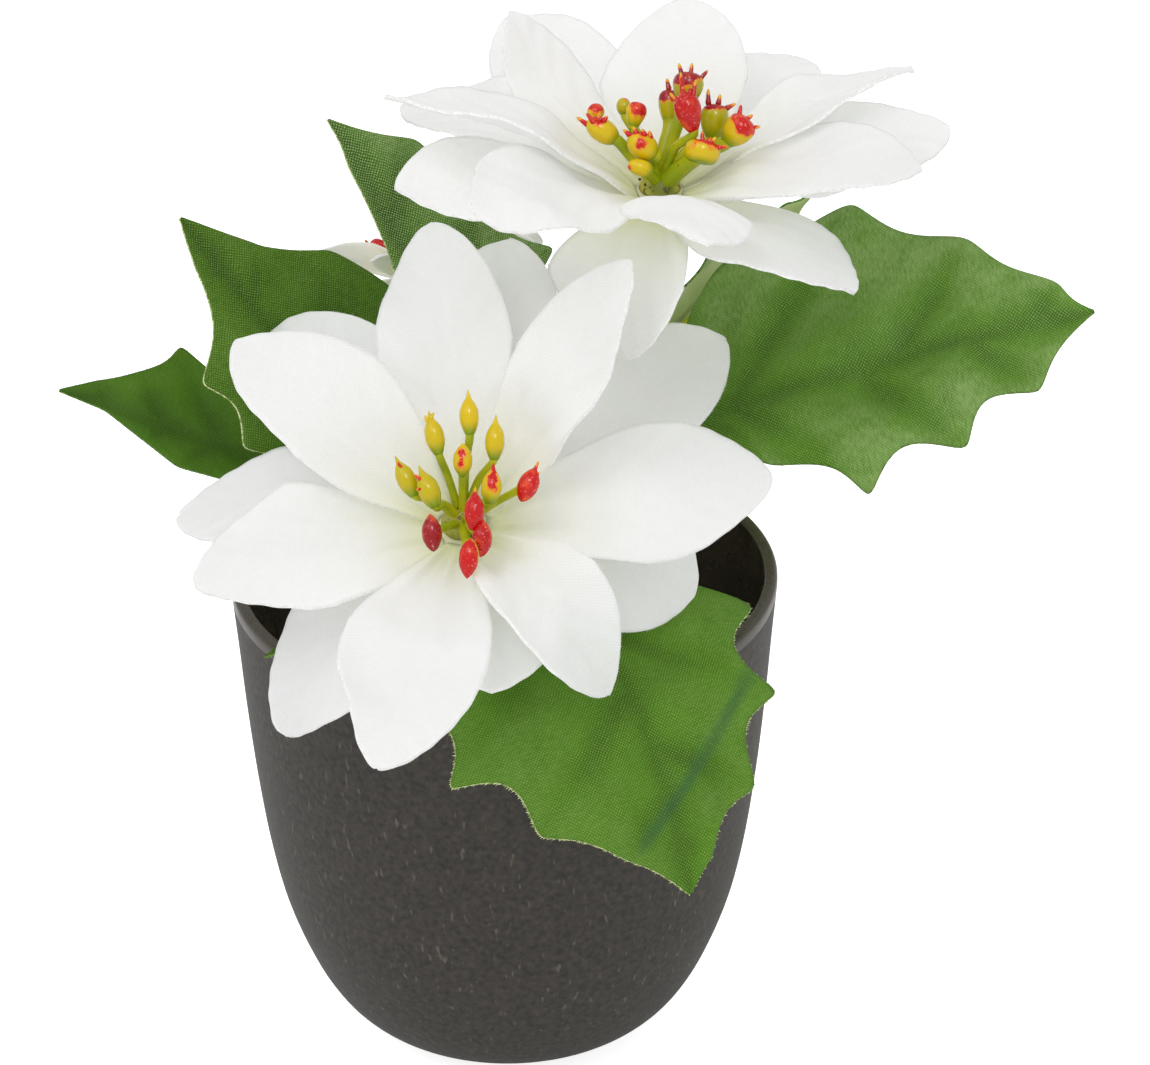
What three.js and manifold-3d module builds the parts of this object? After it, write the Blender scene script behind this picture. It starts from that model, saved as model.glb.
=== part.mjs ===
// Artificial poinsettia in a round-bottomed pot. Millimetres, +Z up, origin at the middle of the pot's base.
// Three moulded stems stand in a weighted filler. Each carries three die-cut fabric leaves and one bloom:
// two die-cut whorls of fabric petals, threaded on the peg of a moulded cluster of cyathia.
import * as THREE from "three";
import { mergeVertices } from "three/addons/utils/BufferGeometryUtils.js";
import Module from "manifold-3d";

const wasm = await Module();
wasm.setup();

// ---------------------------------------------------------------- driving dimensions

// The pot: an outline of (radius, height) up its outside, and its wall.
const POT_HEIGHT = 63.5;
const POT_RIM_RADIUS = 34;
const POT_WALL = 1.7;
const POT_FLOOR = 3.5;
const POT_SEGMENTS = 32;
const POT_OUTLINE = [
  [13, 0], [16.4, 1.2], [19.8, 2.9], [22.4, 5.3], [24.6, 8.6], [26.7, 13.2],
  [28.8, 19.4], [30.4, 27], [31.7, 36.5], [32.7, 46.5], [33.4, 55.5], [POT_RIM_RADIUS, POT_HEIGHT - 1],
];

// The filler that holds the stems.
const FILLER_TOP = 46;
const FILLER_BOTTOM = 4.2;
const CLEARANCE = 0.3;

// Stems: round rods that widen into a calyx under each bloom.
const STEM_RADIUS = 1.4;
const STEM_FOOT = 18;
const HOLE_RADIUS = 1.8;
const STEM_SIDES = 6;
const STALK_RADIUS = 0.75;
const RIB_RADIUS = 0.45;
const RIB_LENGTH = 13;
const STALK_SIDES = 5;

// Fabric, thick enough to be solid.
const PETAL_THICKNESS = 0.65;
const LEAF_THICKNESS = 0.65;

// Scallops in a leaf's cut edge: how tightly they bend, and where each is sampled.
const SCALLOP_BEND = 2;
const SCALLOP_STEPS = [1 / 3, 2 / 3, 1];

// The stack on each bloom's axis, measured from the bloom's centre.
const CALYX_TOP = -1.6;
const CALYX_RADIUS = 2.7;
const CALYX_DEPTH = 4.5;
const LOWER_WHORL = -0.95;
const UPPER_WHORL = 0.05;
const HUB_RADIUS = 3.6;
const HUB_HOLE = 1.6;
const PETAL_ROOT = 2.8;
const PEG_RADIUS = 1.2;
const PEG_LENGTH = 4.2;
const SOCKET_RADIUS = 1.5;
const SOCKET_DEPTH = 3.6;
const FLANGE_BOTTOM = 0.7;
const FLANGE_RADIUS = 2.6;

// Buds, as outlines of (radius, height) about each bud's middle.
const BUD_STALK_RADIUS = 0.5;
const POINTED_BUD = [[0, -2.2], [1.15, -0.9], [1.05, 1.2], [0, 4]];
const CROWNED_BUD = [[0, -2.2], [1.5, -1.1], [1.6, 0.8], [0, 2.2]];
const CROWN_SPIKE = [[0, 0], [0.5, 0], [0, 2.7]];
const CROWN_ANGLES = [-38, 0, 38];
const CROWN_HEIGHT = 1.1;
const CROWN_STAGGER = 0.08;

const rad = THREE.MathUtils.degToRad;
const vec = (x, y, z) => new THREE.Vector3(x, y, z);

// ---------------------------------------------------------------- solids

// A closed geometry as a manifold solid.
function solid(geometry) {
  const bare = geometry.clone();
  for (const name of Object.keys(bare.attributes)) {
    if (name !== "position") bare.deleteAttribute(name);
  }
  const merged = mergeVertices(bare, 1e-4);
  const vertProperties = new Float32Array(merged.attributes.position.array);
  const triVerts = new Uint32Array(merged.index.array);
  return new wasm.Manifold(new wasm.Mesh({ numProp: 3, vertProperties, triVerts }));
}

// A manifold solid back as a geometry.
function geometryOf(manifold) {
  const mesh = manifold.getMesh();
  const geometry = new THREE.BufferGeometry();
  geometry.setAttribute("position", new THREE.BufferAttribute(mesh.vertProperties, 3));
  geometry.setIndex(new THREE.BufferAttribute(mesh.triVerts, 1));
  geometry.computeVertexNormals();
  return geometry;
}

// Geometries joined into one solid.
function fused(geometries) {
  return geometries.map(solid).reduce((whole, piece) => whole.add(piece));
}

// A thin closed blade on a grid of surface points, rows by columns, split alike on both faces.
function blade(grid, thickness) {
  const rows = grid.length;
  const cols = grid[0].length;
  const at = (i, j) => grid[Math.min(Math.max(i, 0), rows - 1)][Math.min(Math.max(j, 0), cols - 1)];
  const points = [];
  for (const side of [1, -1]) {
    for (let i = 0; i < rows; i++) {
      for (let j = 0; j < cols; j++) {
        const along = at(i + 1, j).clone().sub(at(i - 1, j));
        const across = at(i, j + 1).clone().sub(at(i, j - 1));
        const normal = along.cross(across).normalize();
        points.push(grid[i][j].clone().addScaledVector(normal, (side * thickness) / 2));
      }
    }
  }
  const top = (i, j) => i * cols + j;
  const under = (i, j) => rows * cols + i * cols + j;
  const index = [];
  for (let i = 0; i + 1 < rows; i++) {
    for (let j = 0; j + 1 < cols; j++) {
      const slant = j < (cols - 1) / 2;
      const quad = [[i, j], [i + 1, j], [i + 1, j + 1], [i, j + 1]];
      const order = slant ? [0, 1, 2, 0, 2, 3] : [1, 2, 3, 1, 3, 0];
      for (const k of order) index.push(top(...quad[k]));
      for (const k of order.slice().reverse()) index.push(under(...quad[k]));
    }
  }
  const border = [];
  for (let i = 0; i < rows - 1; i++) border.push([i, 0]);
  for (let j = 0; j < cols - 1; j++) border.push([rows - 1, j]);
  for (let i = rows - 1; i > 0; i--) border.push([i, cols - 1]);
  for (let j = cols - 1; j > 0; j--) border.push([0, j]);
  border.forEach(([i, j], k) => {
    const [m, n] = border[(k + 1) % border.length];
    index.push(top(m, n), top(i, j), under(i, j), top(m, n), under(i, j), under(m, n));
  });
  const geometry = new THREE.BufferGeometry().setFromPoints(points);
  geometry.setIndex(index);
  return geometry;
}

// A rod along a smooth curve through points.
function rod(points, radius, sides, steps) {
  const ring = new THREE.Shape();
  for (let k = 0; k < sides; k++) {
    const a = (2 * Math.PI * k) / sides;
    const p = [radius * Math.cos(a), radius * Math.sin(a)];
    if (k === 0) ring.moveTo(...p);
    else ring.lineTo(...p);
  }
  const path = new THREE.CatmullRomCurve3(points, false, "centripetal");
  return new THREE.ExtrudeGeometry(ring, { extrudePath: path, steps, bevelEnabled: false });
}

// A turned shape along an axis that starts at a point.
function turned(profile, sides, origin, axis) {
  const points = profile.map(([r, h]) => new THREE.Vector2(r, h));
  const geometry = new THREE.LatheGeometry(points, sides);
  geometry.applyQuaternion(new THREE.Quaternion().setFromUnitVectors(vec(0, 1, 0), axis));
  return geometry.translate(origin.x, origin.y, origin.z);
}

// ---------------------------------------------------------------- pot and filler

function potOutline(offset, from) {
  const curve = new THREE.SplineCurve(POT_OUTLINE.map(([r, z]) => new THREE.Vector2(r - offset, z)));
  return curve.getPoints(11).filter((p) => p.y >= from);
}

function potGeometry() {
  const outside = potOutline(0, 0).map((p) => [p.x, p.y]);
  const inside = potOutline(POT_WALL, POT_FLOOR + 1).map((p) => [p.x, p.y]).reverse();
  const lip = [[POT_RIM_RADIUS - 0.3, POT_HEIGHT - 0.3], [POT_RIM_RADIUS - 0.85, POT_HEIGHT],
    [POT_RIM_RADIUS - 1.4, POT_HEIGHT - 0.3]];
  const floor = [[inside.at(-1)[0] - 2.2, POT_FLOOR]];
  const profile = [[0, 0], ...outside, ...lip, ...inside, ...floor, [0, POT_FLOOR]];
  return turned(profile, POT_SEGMENTS, vec(0, 0, 0), vec(0, 0, 1));
}

function fillerGeometry(stems) {
  const wall = potOutline(POT_WALL + CLEARANCE, POT_FLOOR + 1).map((p) => [p.x, p.y]);
  const below = wall.filter(([, z]) => z < FILLER_TOP - 1.5);
  const [r, z] = below.at(-1);
  const grow = (wall.at(-1)[0] - r) / (wall.at(-1)[1] - z);
  const rim = r + grow * (FILLER_TOP - z);
  const foot = [below[0][0] - 2.2, FILLER_BOTTOM];
  const profile = [[0, FILLER_BOTTOM], foot, ...below, [rim, FILLER_TOP], [0, FILLER_TOP]];
  let plug = solid(turned(profile, POT_SEGMENTS, vec(0, 0, 0), vec(0, 0, 1)));
  const bore = [[0, 0], [HOLE_RADIUS, 0], [HOLE_RADIUS, POT_HEIGHT], [0, POT_HEIGHT]];
  for (const stem of stems) {
    const bottom = vec(stem.foot[0], stem.foot[1], STEM_FOOT - CLEARANCE);
    plug = plug.subtract(solid(turned(bore, 12, bottom, vec(0, 0, 1))));
  }
  return geometryOf(plug);
}

// ---------------------------------------------------------------- petals

// A bloom's own axes: right, up the face, and out along its axis.
function bloomAxes(bloom) {
  const out = vec(...bloom.axis).normalize();
  const right = vec(1, 0, 0).addScaledVector(out, -out.x).normalize();
  const up = out.clone().cross(right);
  return { centre: vec(...bloom.centre), right, up, out };
}

// Half the width of a petal at a share of its length: a wedge from the hub, full past half way, then a point.
function petalHalfWidth(share, width) {
  const widest = 0.56;
  if (share < widest) return (width / 2) * (1 - 0.98 * (1 - share / widest) ** 1.35);
  const past = (share - widest) / (1 - widest);
  return (width / 2) * (0.955 * Math.cos((Math.PI / 2) * past ** 1.45) + 0.045);
}

// The surface points of one petal. It leaves the hub at its lift, droops along its length, and is cupped
// across: its sides rise by cup at the widest place. It may also twist on its midrib.
function petalGrid(bloom, petal, level, rows, cols) {
  const { centre, right, up, out } = bloomAxes(bloom);
  const [azimuth, lift, droop] = petal.pose;
  const length = petal.length ?? bloom.petalLength;
  const width = petal.width ?? bloom.petalWidth;
  const [cup, twist] = petal.form ?? [0.8, 0];
  const start = PETAL_ROOT;
  const run = length - start;
  const grid = [];
  const spine = vec(start, 0, level);
  const steps = 40;
  let row = 0;
  for (let k = 0; k <= steps; k++) {
    const t = k / steps;
    const tilt = rad(lift - droop * t ** 1.3);
    const forward = vec(Math.cos(tilt), 0, Math.sin(tilt));
    if (k > 0) spine.addScaledVector(forward, run / steps);
    if (k < Math.round((row * steps) / (rows - 1))) continue;
    row += 1;
    const flat = vec(0, 1, 0);
    const roll = rad(twist * t);
    const lean = forward.clone().cross(flat);
    const side = flat.clone().multiplyScalar(Math.cos(roll)).addScaledVector(lean, Math.sin(roll));
    const rise = flat.clone().multiplyScalar(-Math.sin(roll)).addScaledVector(lean, Math.cos(roll));
    const half = petalHalfWidth((start + run * t) / length, width);
    const line = [];
    for (let j = 0; j < cols; j++) {
      const v = (2 * j) / (cols - 1) - 1;
      const local = spine.clone().addScaledVector(side, v * half);
      local.addScaledVector(rise, cup * (v * v) * ((2 * half) / width) ** 2);
      const a = rad(azimuth);
      const x = local.x * Math.cos(a) - local.y * Math.sin(a);
      const y = local.x * Math.sin(a) + local.y * Math.cos(a);
      const point = centre.clone().addScaledVector(right, x).addScaledVector(up, y);
      line.push(point.addScaledVector(out, local.z));
    }
    grid.push(line);
  }
  return grid;
}

// One die-cut whorl: petals fused to a washer at the hub.
function whorlGeometry(bloom, petals, level) {
  const { centre, out } = bloomAxes(bloom);
  const half = PETAL_THICKNESS / 2;
  const washer = [[HUB_HOLE, -half], [HUB_RADIUS, -half], [HUB_RADIUS, half], [HUB_HOLE, half], [HUB_HOLE, -half]];
  const hub = turned(washer, 10, centre.clone().addScaledVector(out, level), out);
  const [rows, cols] = bloom.petalGrid ?? [7, 4];
  const blades = petals.map((petal) => blade(petalGrid(bloom, petal, level, rows, cols), PETAL_THICKNESS));
  return geometryOf(fused([hub, ...blades]));
}

// ---------------------------------------------------------------- cyathia

// One bud on its curved stalk: a pointed one, or a flattened one with a fan of spikes for a crown.
function budGeometries(bloom, bud) {
  const { centre, right, up, out } = bloomAxes(bloom);
  const place = (a, b, c) => {
    const point = centre.clone().addScaledVector(right, a).addScaledVector(up, b);
    return point.addScaledVector(out, c);
  };
  const [x, y, h] = bud.at;
  const size = bud.size ?? 1;
  const foot = place(x * 0.1, y * 0.1, FLANGE_BOTTOM + 0.8);
  const bend = place(x * 0.55, y * 0.55, h * 0.45 + 1);
  const head = place(x, y, h);
  const lean = head.clone().sub(bend).normalize();
  if (bud.point) lean.copy(place(x + bud.point[0], y + bud.point[1], h + bud.point[2])).sub(head).normalize();
  const neck = head.clone().addScaledVector(lean, -1.6 * size);
  const sized = (outline) => outline.map(([r, z]) => [r * size, z * size]);
  const pieces = [rod([foot, bend, neck, head], BUD_STALK_RADIUS, 4, 2)];
  pieces.push(turned(sized(bloom.crowned ? CROWNED_BUD : POINTED_BUD), 5, head, lean));
  if (bloom.crowned) {
    const fan = right.clone().cross(lean).normalize();
    const crown = head.clone().addScaledVector(lean, CROWN_HEIGHT * size);
    CROWN_ANGLES.forEach((turn, k) => {
      const way = lean.clone().applyAxisAngle(fan, rad(turn));
      pieces.push(turned(sized(CROWN_SPIKE), 3, crown.clone().addScaledVector(way, k * CROWN_STAGGER), way));
    });
  }
  return pieces;
}

// The moulded cluster: a peg through the whorls, a flange on them, and the stalks with their buds.
function cyathiaGeometry(bloom) {
  const { centre, out } = bloomAxes(bloom);
  const pegEnd = FLANGE_BOTTOM - PEG_LENGTH;
  const domeTop = FLANGE_BOTTOM + 2;
  const profile = [[0, pegEnd], [PEG_RADIUS, pegEnd], [PEG_RADIUS, FLANGE_BOTTOM], [FLANGE_RADIUS, FLANGE_BOTTOM],
    [FLANGE_RADIUS - 0.4, FLANGE_BOTTOM + 0.9], [0.9, domeTop], [0, domeTop]];
  const hub = turned(profile, 8, centre, out);
  return geometryOf(fused([hub, ...bloom.buds.flatMap((bud) => budGeometries(bloom, bud))]));
}

// ---------------------------------------------------------------- leaves

// A point on a leaf's surface, s along the midrib and w to the left of it, and the surface's upward normal.
function leafPoint(leaf, s, w) {
  const [heading, pitch, bend] = leaf.pose;
  const [roll, twist, fold, curl] = leaf.form;
  const steps = 24;
  const point = vec(...leaf.base);
  const direction = (share) => {
    const p = rad(pitch + bend * Math.max(share, 0) ** 0.9);
    const a = rad(heading);
    return vec(Math.cos(p) * Math.cos(a), Math.cos(p) * Math.sin(a), Math.sin(p));
  };
  for (let k = 0; k < steps; k++) {
    point.addScaledVector(direction(((k + 0.5) / steps) * (s / leaf.length)), s / steps);
  }
  const share = s / leaf.length;
  const forward = direction(share);
  const left = vec(-Math.sin(rad(heading)), Math.cos(rad(heading)), 0);
  const top = forward.clone().cross(left);
  const turn = rad(roll + twist * share);
  const side = left.clone().multiplyScalar(Math.cos(turn)).addScaledVector(top, Math.sin(turn));
  const rise = left.clone().multiplyScalar(-Math.sin(turn)).addScaledVector(top, Math.cos(turn));
  point.addScaledVector(side, w).addScaledVector(rise, fold * Math.abs(w) - curl * w * w);
  return { point, rise };
}

// One side's cut edge, from the base to the tip: a scallop before each spike, as deep as a share of its chord.
// A scallop is a conic arc: two nearly straight flanks that meet in a tight bend.
function cutEdge(leaf, spikes) {
  const corners = [[0, 0.7], ...spikes, [leaf.length, 0.35, leaf.lastScallop ?? 0.12]];
  const edge = [corners[0]];
  for (let k = 1; k < corners.length; k++) {
    const [s0, w0] = corners[k - 1];
    const [s1, w1, depth] = corners[k];
    const pull = (depth * (1 + SCALLOP_BEND)) / SCALLOP_BEND;
    const bend = [(s0 + s1) / 2 + pull * (w1 - w0), (w0 + w1) / 2 - pull * (s1 - s0)];
    for (const t of SCALLOP_STEPS) {
      const [a, b, c] = [(1 - t) ** 2, 2 * SCALLOP_BEND * t * (1 - t), t ** 2];
      const whole = a + b + c;
      edge.push([(a * s0 + b * bend[0] + c * s1) / whole, (a * w0 + b * bend[1] + c * w1) / whole]);
    }
  }
  return edge;
}

function leafGeometry(leaf) {
  const left = cutEdge(leaf, leaf.left);
  const right = cutEdge(leaf, leaf.right);
  const grid = left.map(([sl, wl], k) => {
    const [sr, wr] = right[k];
    const slant = 0.35 * Math.min(wl, wr);
    const s = Math.max(0, Math.min(leaf.length, (sl + sr) / 2 - slant));
    return [-1, -0.5, 0, 0.5, 1].map((v) => {
      const [se, we] = v > 0 ? [sl, wl] : [sr, wr];
      const along = s + (se - s) * Math.abs(v);
      return leafPoint(leaf, along, v * we).point;
    });
  });
  return blade(grid, LEAF_THICKNESS);
}

// ---------------------------------------------------------------- stems

// A stem with its calyx and socket, and a stalk to each leaf that runs on as a rib under the blade.
function stemGeometry(stem) {
  const { centre, out } = bloomAxes(stem.bloom);
  const seat = centre.clone().addScaledVector(out, CALYX_TOP);
  const neck = seat.clone().addScaledVector(out, -CALYX_DEPTH);
  const foot = vec(stem.foot[0], stem.foot[1], STEM_FOOT);
  const straight = [FILLER_TOP - 3, FILLER_TOP + 1].map((z) => vec(stem.foot[0], stem.foot[1], z));
  const middle = stem.via.map((p) => vec(...p));
  const route = [foot, ...straight, ...middle, neck, seat.clone().addScaledVector(out, -0.4)];
  const spine = new THREE.CatmullRomCurve3(route, false, "centripetal");
  const pieces = [rod(route, STEM_RADIUS, STEM_SIDES, 14)];
  const cup = [[0, -CALYX_DEPTH - 1], [STEM_RADIUS + 0.2, -CALYX_DEPTH], [CALYX_RADIUS, -0.6],
    [CALYX_RADIUS, 0], [0, 0]];
  pieces.push(turned(cup, 8, seat, out));
  for (const leaf of stem.leaves) {
    const gap = LEAF_THICKNESS / 2 + CLEARANCE + RIB_RADIUS;
    const under = (s) => {
      const { point, rise } = leafPoint(leaf, s, 0);
      return point.addScaledVector(rise, -gap);
    };
    const [from, ...bends] = leaf.stalk;
    const stalk = [spine.getPointAt(from), ...bends.map((p) => vec(...p)), under(-2.4), under(-0.7)];
    pieces.push(rod(stalk, STALK_RADIUS, STALK_SIDES, 5));
    pieces.push(rod([under(-2), under(RIB_LENGTH / 2), under(RIB_LENGTH)], RIB_RADIUS, 4, 3));
  }
  const socket = [[0, -SOCKET_DEPTH], [SOCKET_RADIUS, -SOCKET_DEPTH], [SOCKET_RADIUS, 1], [0, 1]];
  return geometryOf(fused(pieces).subtract(solid(turned(socket, 8, seat, out))));
}

// ---------------------------------------------------------------- the three blooms and their leaves

// petal.pose is [azimuth, lift, droop] in degrees; petal.form is [cup in mm, twist].
// bud.at is [right, up, out] from the bloom's centre; bud.point turns its tip away from the stalk's line.
const frontBloom = {
  name: "front",
  centre: [-4.6, -17, 78.6],
  axis: [-0.06, -0.47, 0.88],
  petalLength: 41,
  petalWidth: 18.6,
  upper: [
    { pose: [95, 25.3, 17], length: 39.5, width: 16.5, form: [-0.5, -16] },
    { pose: [44, 40.3, -3], length: 38.8, width: 13.7, form: [1.3, -12] },
    { pose: [4, 14.6, 19], length: 37.8, width: 20.1, form: [-0.5, -1] },
    { pose: [-55, 29.7, 75], length: 31.3, width: 13.9, form: [3.4, -20] },
    { pose: [-101, 22.5, 6], length: 45.4, width: 16.9, form: [2.8, -19] },
    { pose: [197, 21, 31], length: 33.6, width: 21.6, form: [0.9, 24] },
    { pose: [142, 27.1, 16], length: 36, width: 17.8, form: [2, 14] },
  ],
  lower: [
    { pose: [127, 13.2, 33], length: 40.2, width: 18, form: [1, -23] },
    { pose: [82, 16.6, 22], length: 41.1, width: 17.9, form: [0.9, -10] },
    { pose: [39, 11.4, 24], length: 41.8, width: 17.5, form: [0.8, 18] },
    { pose: [-13, 7.7, 53], length: 30, width: 19.4, form: [0.7, 18] },
    { pose: [-82, 12.1, -1], length: 27.1, width: 18.7, form: [0.4, -12] },
    { pose: [-135, 6.3, 47], length: 34, width: 18.8, form: [0, 20] },
    { pose: [166, 7.3, 44], length: 38.5, width: 16.6, form: [1.3, 14] },
  ],
  buds: [
    { at: [1.6, 8.3, 11.2], point: [0, 3, 2] },
    { at: [-2.6, 6.1, 10.5], point: [-0.7, 3, 2] },
    { at: [4.6, 5.3, 10.1], point: [0.3, 3, 2] },
    { at: [-6.1, 1.4, 8.5], point: [-1.6, 3, 2] },
    { at: [-3.4, -0.4, 8.7], point: [-1.3, 3, 2] },
    { at: [0.7, 3.2, 9.1], size: 0.8, point: [0.2, 3, 2] },
    { at: [4.1, -0.3, 8.7], point: [0.5, 3, 2] },
    { at: [8.4, 0.2, 7.8], point: [1.7, 3, 2] },
    { at: [-3.1, -5.3, 6.6], point: [-0.2, 3, 2] },
    { at: [2.1, -3.9, 8.9], point: [0.3, 3, 2] },
    { at: [2.9, -6.9, 7.3], point: [0.4, 3, 2] },
    { at: [1.4, -9.8, 7.7], point: [-0.5, -3, -2] },
  ],
};

const topBloom = {
  name: "top",
  centre: [19.4, 8, 111],
  axis: [0, -0.12, 1],
  petalLength: 40,
  petalWidth: 18.6,
  crowned: true,
  upper: [
    { pose: [-12, 28.6, 34], length: 33.2, width: 18.1, form: [0.5, -3] },
    { pose: [27, 23, 21], length: 36.4, width: 11.6, form: [1.6, -22] },
    { pose: [83, 20.5, -6], length: 31.2, width: 18.6, form: [0.4, -20] },
    { pose: [141, 26.3, -29], length: 29.8, width: 12.1, form: [-0.2, 4] },
    { pose: [190, 43, 35], length: 37.8, width: 16.9, form: [1.7, 24] },
    { pose: [-133, 30.2, 19], length: 34.5, width: 16.5, form: [1.2, -28] },
    { pose: [-80, 38.5, 40], length: 32.4, width: 15.4, form: [-1.8, -21] },
  ],
  lower: [
    { pose: [9, 16.3, 13], length: 36.5, width: 16.5, form: [0.7, 11] },
    { pose: [-38, 3.4, 20], length: 29.1, width: 22.6, form: [0, -29] },
    { pose: [-116, -17.9, 69], length: 22.5, width: 21.4, form: [0.8, 37] },
    { pose: [-159, 21.5, 11], length: 35, width: 18.7, form: [1.2, -8] },
    { pose: [144, 16.6, 37], length: 39.7, width: 16.9, form: [1.2, 2] },
    { pose: [115, 7.2, 5], length: 44.1, width: 17, form: [0.5, -15] },
    { pose: [62, 10, 20], length: 39, width: 17 },
  ],
  buds: [
    { at: [-6.9, 1.1, 8], size: 1.2, point: [-3.5, 1, 2.2] },
    { at: [-7.7, 4.6, 8.6], size: 0.75, point: [0, 1.2, 4] },
    { at: [-4.3, 6.3, 8.3], size: 0.75, point: [-0.4, 2.3, 3.3] },
    { at: [-2.9, 2.5, 9.4], size: 0.85, point: [0.8, 2, 3.5] },
    { at: [-2.1, -1.5, 7.3], size: 1.15, point: [-2.6, 0.8, 3.2] },
    { at: [-2.4, -3.8, 5.7], size: 0.75, point: [-4, 0.4, 1] },
    { at: [1.2, 6.6, 8], point: [-0.2, 2.3, 3.3] },
    { at: [3.4, 4.5, 11.9], point: [0.6, 2.3, 3.3] },
    { at: [3.4, -0.9, 11.5], size: 1.2, point: [-1, 1.5, 3.8] },
    { at: [6.6, 3.4, 7.8], size: 1.1, point: [0.4, 2.3, 3.3] },
    { at: [9.3, 0, 8.5], size: 1.15, point: [2.8, 1.3, 2.6] },
    { at: [5, -2.9, 7.3], size: 1.1, point: [1.4, 2.2, 3.1] },
  ],
};

const backBloom = {
  name: "back",
  centre: [-9, 38, 86.4],
  axis: [-0.35, 0.82, 0.45],
  petalLength: 18,
  petalWidth: 10.5,
  petalGrid: [5, 3],
  crowned: true,
  upper: [25, 85, 145, 205, 265, 325].map((a, k) => ({ pose: [a, 22 - (k % 2) * 3, 32] })),
  lower: [55, 115, 175, 235, 295, 355].map((a, k) => ({ pose: [a, 6 - (k % 2) * 3, 36] })),
  buds: [
    { at: [-6, 1, 6.6] },
    { at: [-1.8, 4, 8.2] },
    { at: [2.8, 3, 8] },
    { at: [4.2, -1.6, 7.4] },
    { at: [-0.2, -0.4, 9.6] },
    { at: [-1.8, -4.2, 7.4] },
  ],
};

// leaf.pose is [heading, pitch, bend]; leaf.form is [roll, twist, fold, curl].
// A spike is [along, out, depth of the scallop before it].
const COMMON_SPIKES = [[11, 14, 0], [22.5, 21, 0.3], [34, 16, 0.36], [43, 8, 0.3]];
const leaves = {
  front_drape: {
    base: [4, -15, 70.2], pose: [-56.5, 3, -82], form: [1, 0, 0, 0.004], length: 46.8,
    left: [[15.1, 23.2, -0.05], [27.2, 19.9, 0.47], [37.2, 12.1, 0.33], [43.1, 3.8, 0.2]],
    right: [[13, 23.5, -0.05], [24.9, 26, 0.2], [34.2, 17.8, 0.34], [40, 7.9, 0.08]],
    lastScallop: 0.05,
    stalk: [0.62, [1, -11, 66]],
  },
  front_left: {
    base: [-9, -12, 67.6], pose: [-150, 5, -26], form: [4, 0, 0, 0.004], length: 23,
    left: [[4, 4, 0], [9, 7, 0.2], [14, 5.5, 0.3], [18, 3, 0.3]],
    right: [[4, 4, 0], [9, 7, 0.2], [14, 5.5, 0.3], [18, 3, 0.3]],
    stalk: [0.62, [-5, -10, 64]],
  },
  mid_left: {
    base: [-13, 6, 67.4], pose: [156.5, 55.5, -8], form: [-20, 0, 0, 0.002], length: 46.6,
    left: [[8, 9, -0.05], [19.5, 13.5, 0.2], [29.1, 12.9, 0.3], [40.5, 3.2, 0.16]],
    right: [[9, 12, -0.05], [21.8, 19.8, 0.2], [31.8, 14.8, 0.25], [37.5, 6.6, 0.02]],
    lastScallop: 0,
    stalk: [0.58, [-8, -3, 65]],
  },
  right_broad: {
    base: [24, 4, 82], pose: [-2, 22, -8], form: [30, 0, 0, 0.002], length: 50.6,
    left: [[7, 22.5, -0.16], [24.2, 25.6, 0.08], [37.2, 14.9, 0.15], [47, 4.6, 0.09]],
    right: [[8, 10, -0.05], [19.1, 18.6, 0.18], [32.3, 15.6, 0.36], [42.4, 10.4, 0.38]],
    lastScallop: 0.1,
    stalk: [0.6, [19, 8, 80]],
  },
  back_upright: {
    base: [20, 24, 83.6], pose: [24, 42, -8], form: [-62, 0, 0, 0.002], length: 26.5,
    left: [[6, 5.5, 0], [12, 8, 0.15], [18, 6, 0.25], [23, 2.5, 0.25]],
    right: [[6, 5.5, 0], [12, 8, 0.15], [18, 6, 0.25], [23, 2.5, 0.25]],
    stalk: [0.64, [17.5, 18, 81]],
  },
  tall_left: {
    base: [0, 11, 75], pose: [150, 62, -8], form: [-20, 0, 0, 0.002], length: 46.5,
    left: [[9, 6.5, 0], [21, 7.6, 0.2], [31, 1.8, 0.15], [40, 1, 0.02]],
    right: [[8, 12, -0.05], [18, 20.5, 0.2], [30, 15.2, 0.25], [38.7, 9.7, 0.1]],
    lastScallop: 0.06,
    stalk: [0.45, [4, 10, 71]],
  },
  left_small: {
    base: [-18, 9, 69], pose: [177, 21, 0], form: [-35, 0, 0, 0], length: 40,
    left: [[8, 4.2, 0], [23, 4.8, 0.03], [28, 2.8, 0], [34, 0.5, 0]],
    right: [[10, 6, 0], [27.5, 11.9, 0.05], [31.1, 6.3, 0.12], [36, 3, 0.03]],
    lastScallop: 0,
    stalk: [0.42, [-10, 9, 64]],
  },
  back_low: {
    base: [-9, 17, 70], pose: [102, 11, -50], form: [0, 0, 0, 0.003], length: 48,
    left: COMMON_SPIKES,
    right: COMMON_SPIKES,
    stalk: [0.45, [-7, 14, 68]],
  },
  back_side: {
    base: [8, 17, 72], pose: [28, 14, -42], form: [0, 0, 0, 0.003], length: 46,
    left: COMMON_SPIKES.map(([s, w, depth]) => [s * 0.95, w * 0.9, depth]),
    right: COMMON_SPIKES.map(([s, w, depth]) => [s * 0.95, w * 0.9, depth]),
    stalk: [0.48, [2, 13, 68]],
  },
};

const stems = [
  {
    name: "front", bloom: frontBloom, foot: [-1, -6], via: [[-1.5, -8, 58]],
    leaves: [leaves.front_drape, leaves.front_left, leaves.mid_left],
  },
  {
    name: "top", bloom: topBloom, foot: [6, 2], via: [[10, 6, 66], [18, 12, 90]],
    leaves: [leaves.right_broad, leaves.back_upright, leaves.tall_left],
  },
  {
    name: "back", bloom: backBloom, foot: [-4, 7], via: [[-4.5, 9, 58], [-5, 19, 75]],
    leaves: [leaves.left_small, leaves.back_low, leaves.back_side],
  },
];

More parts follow.
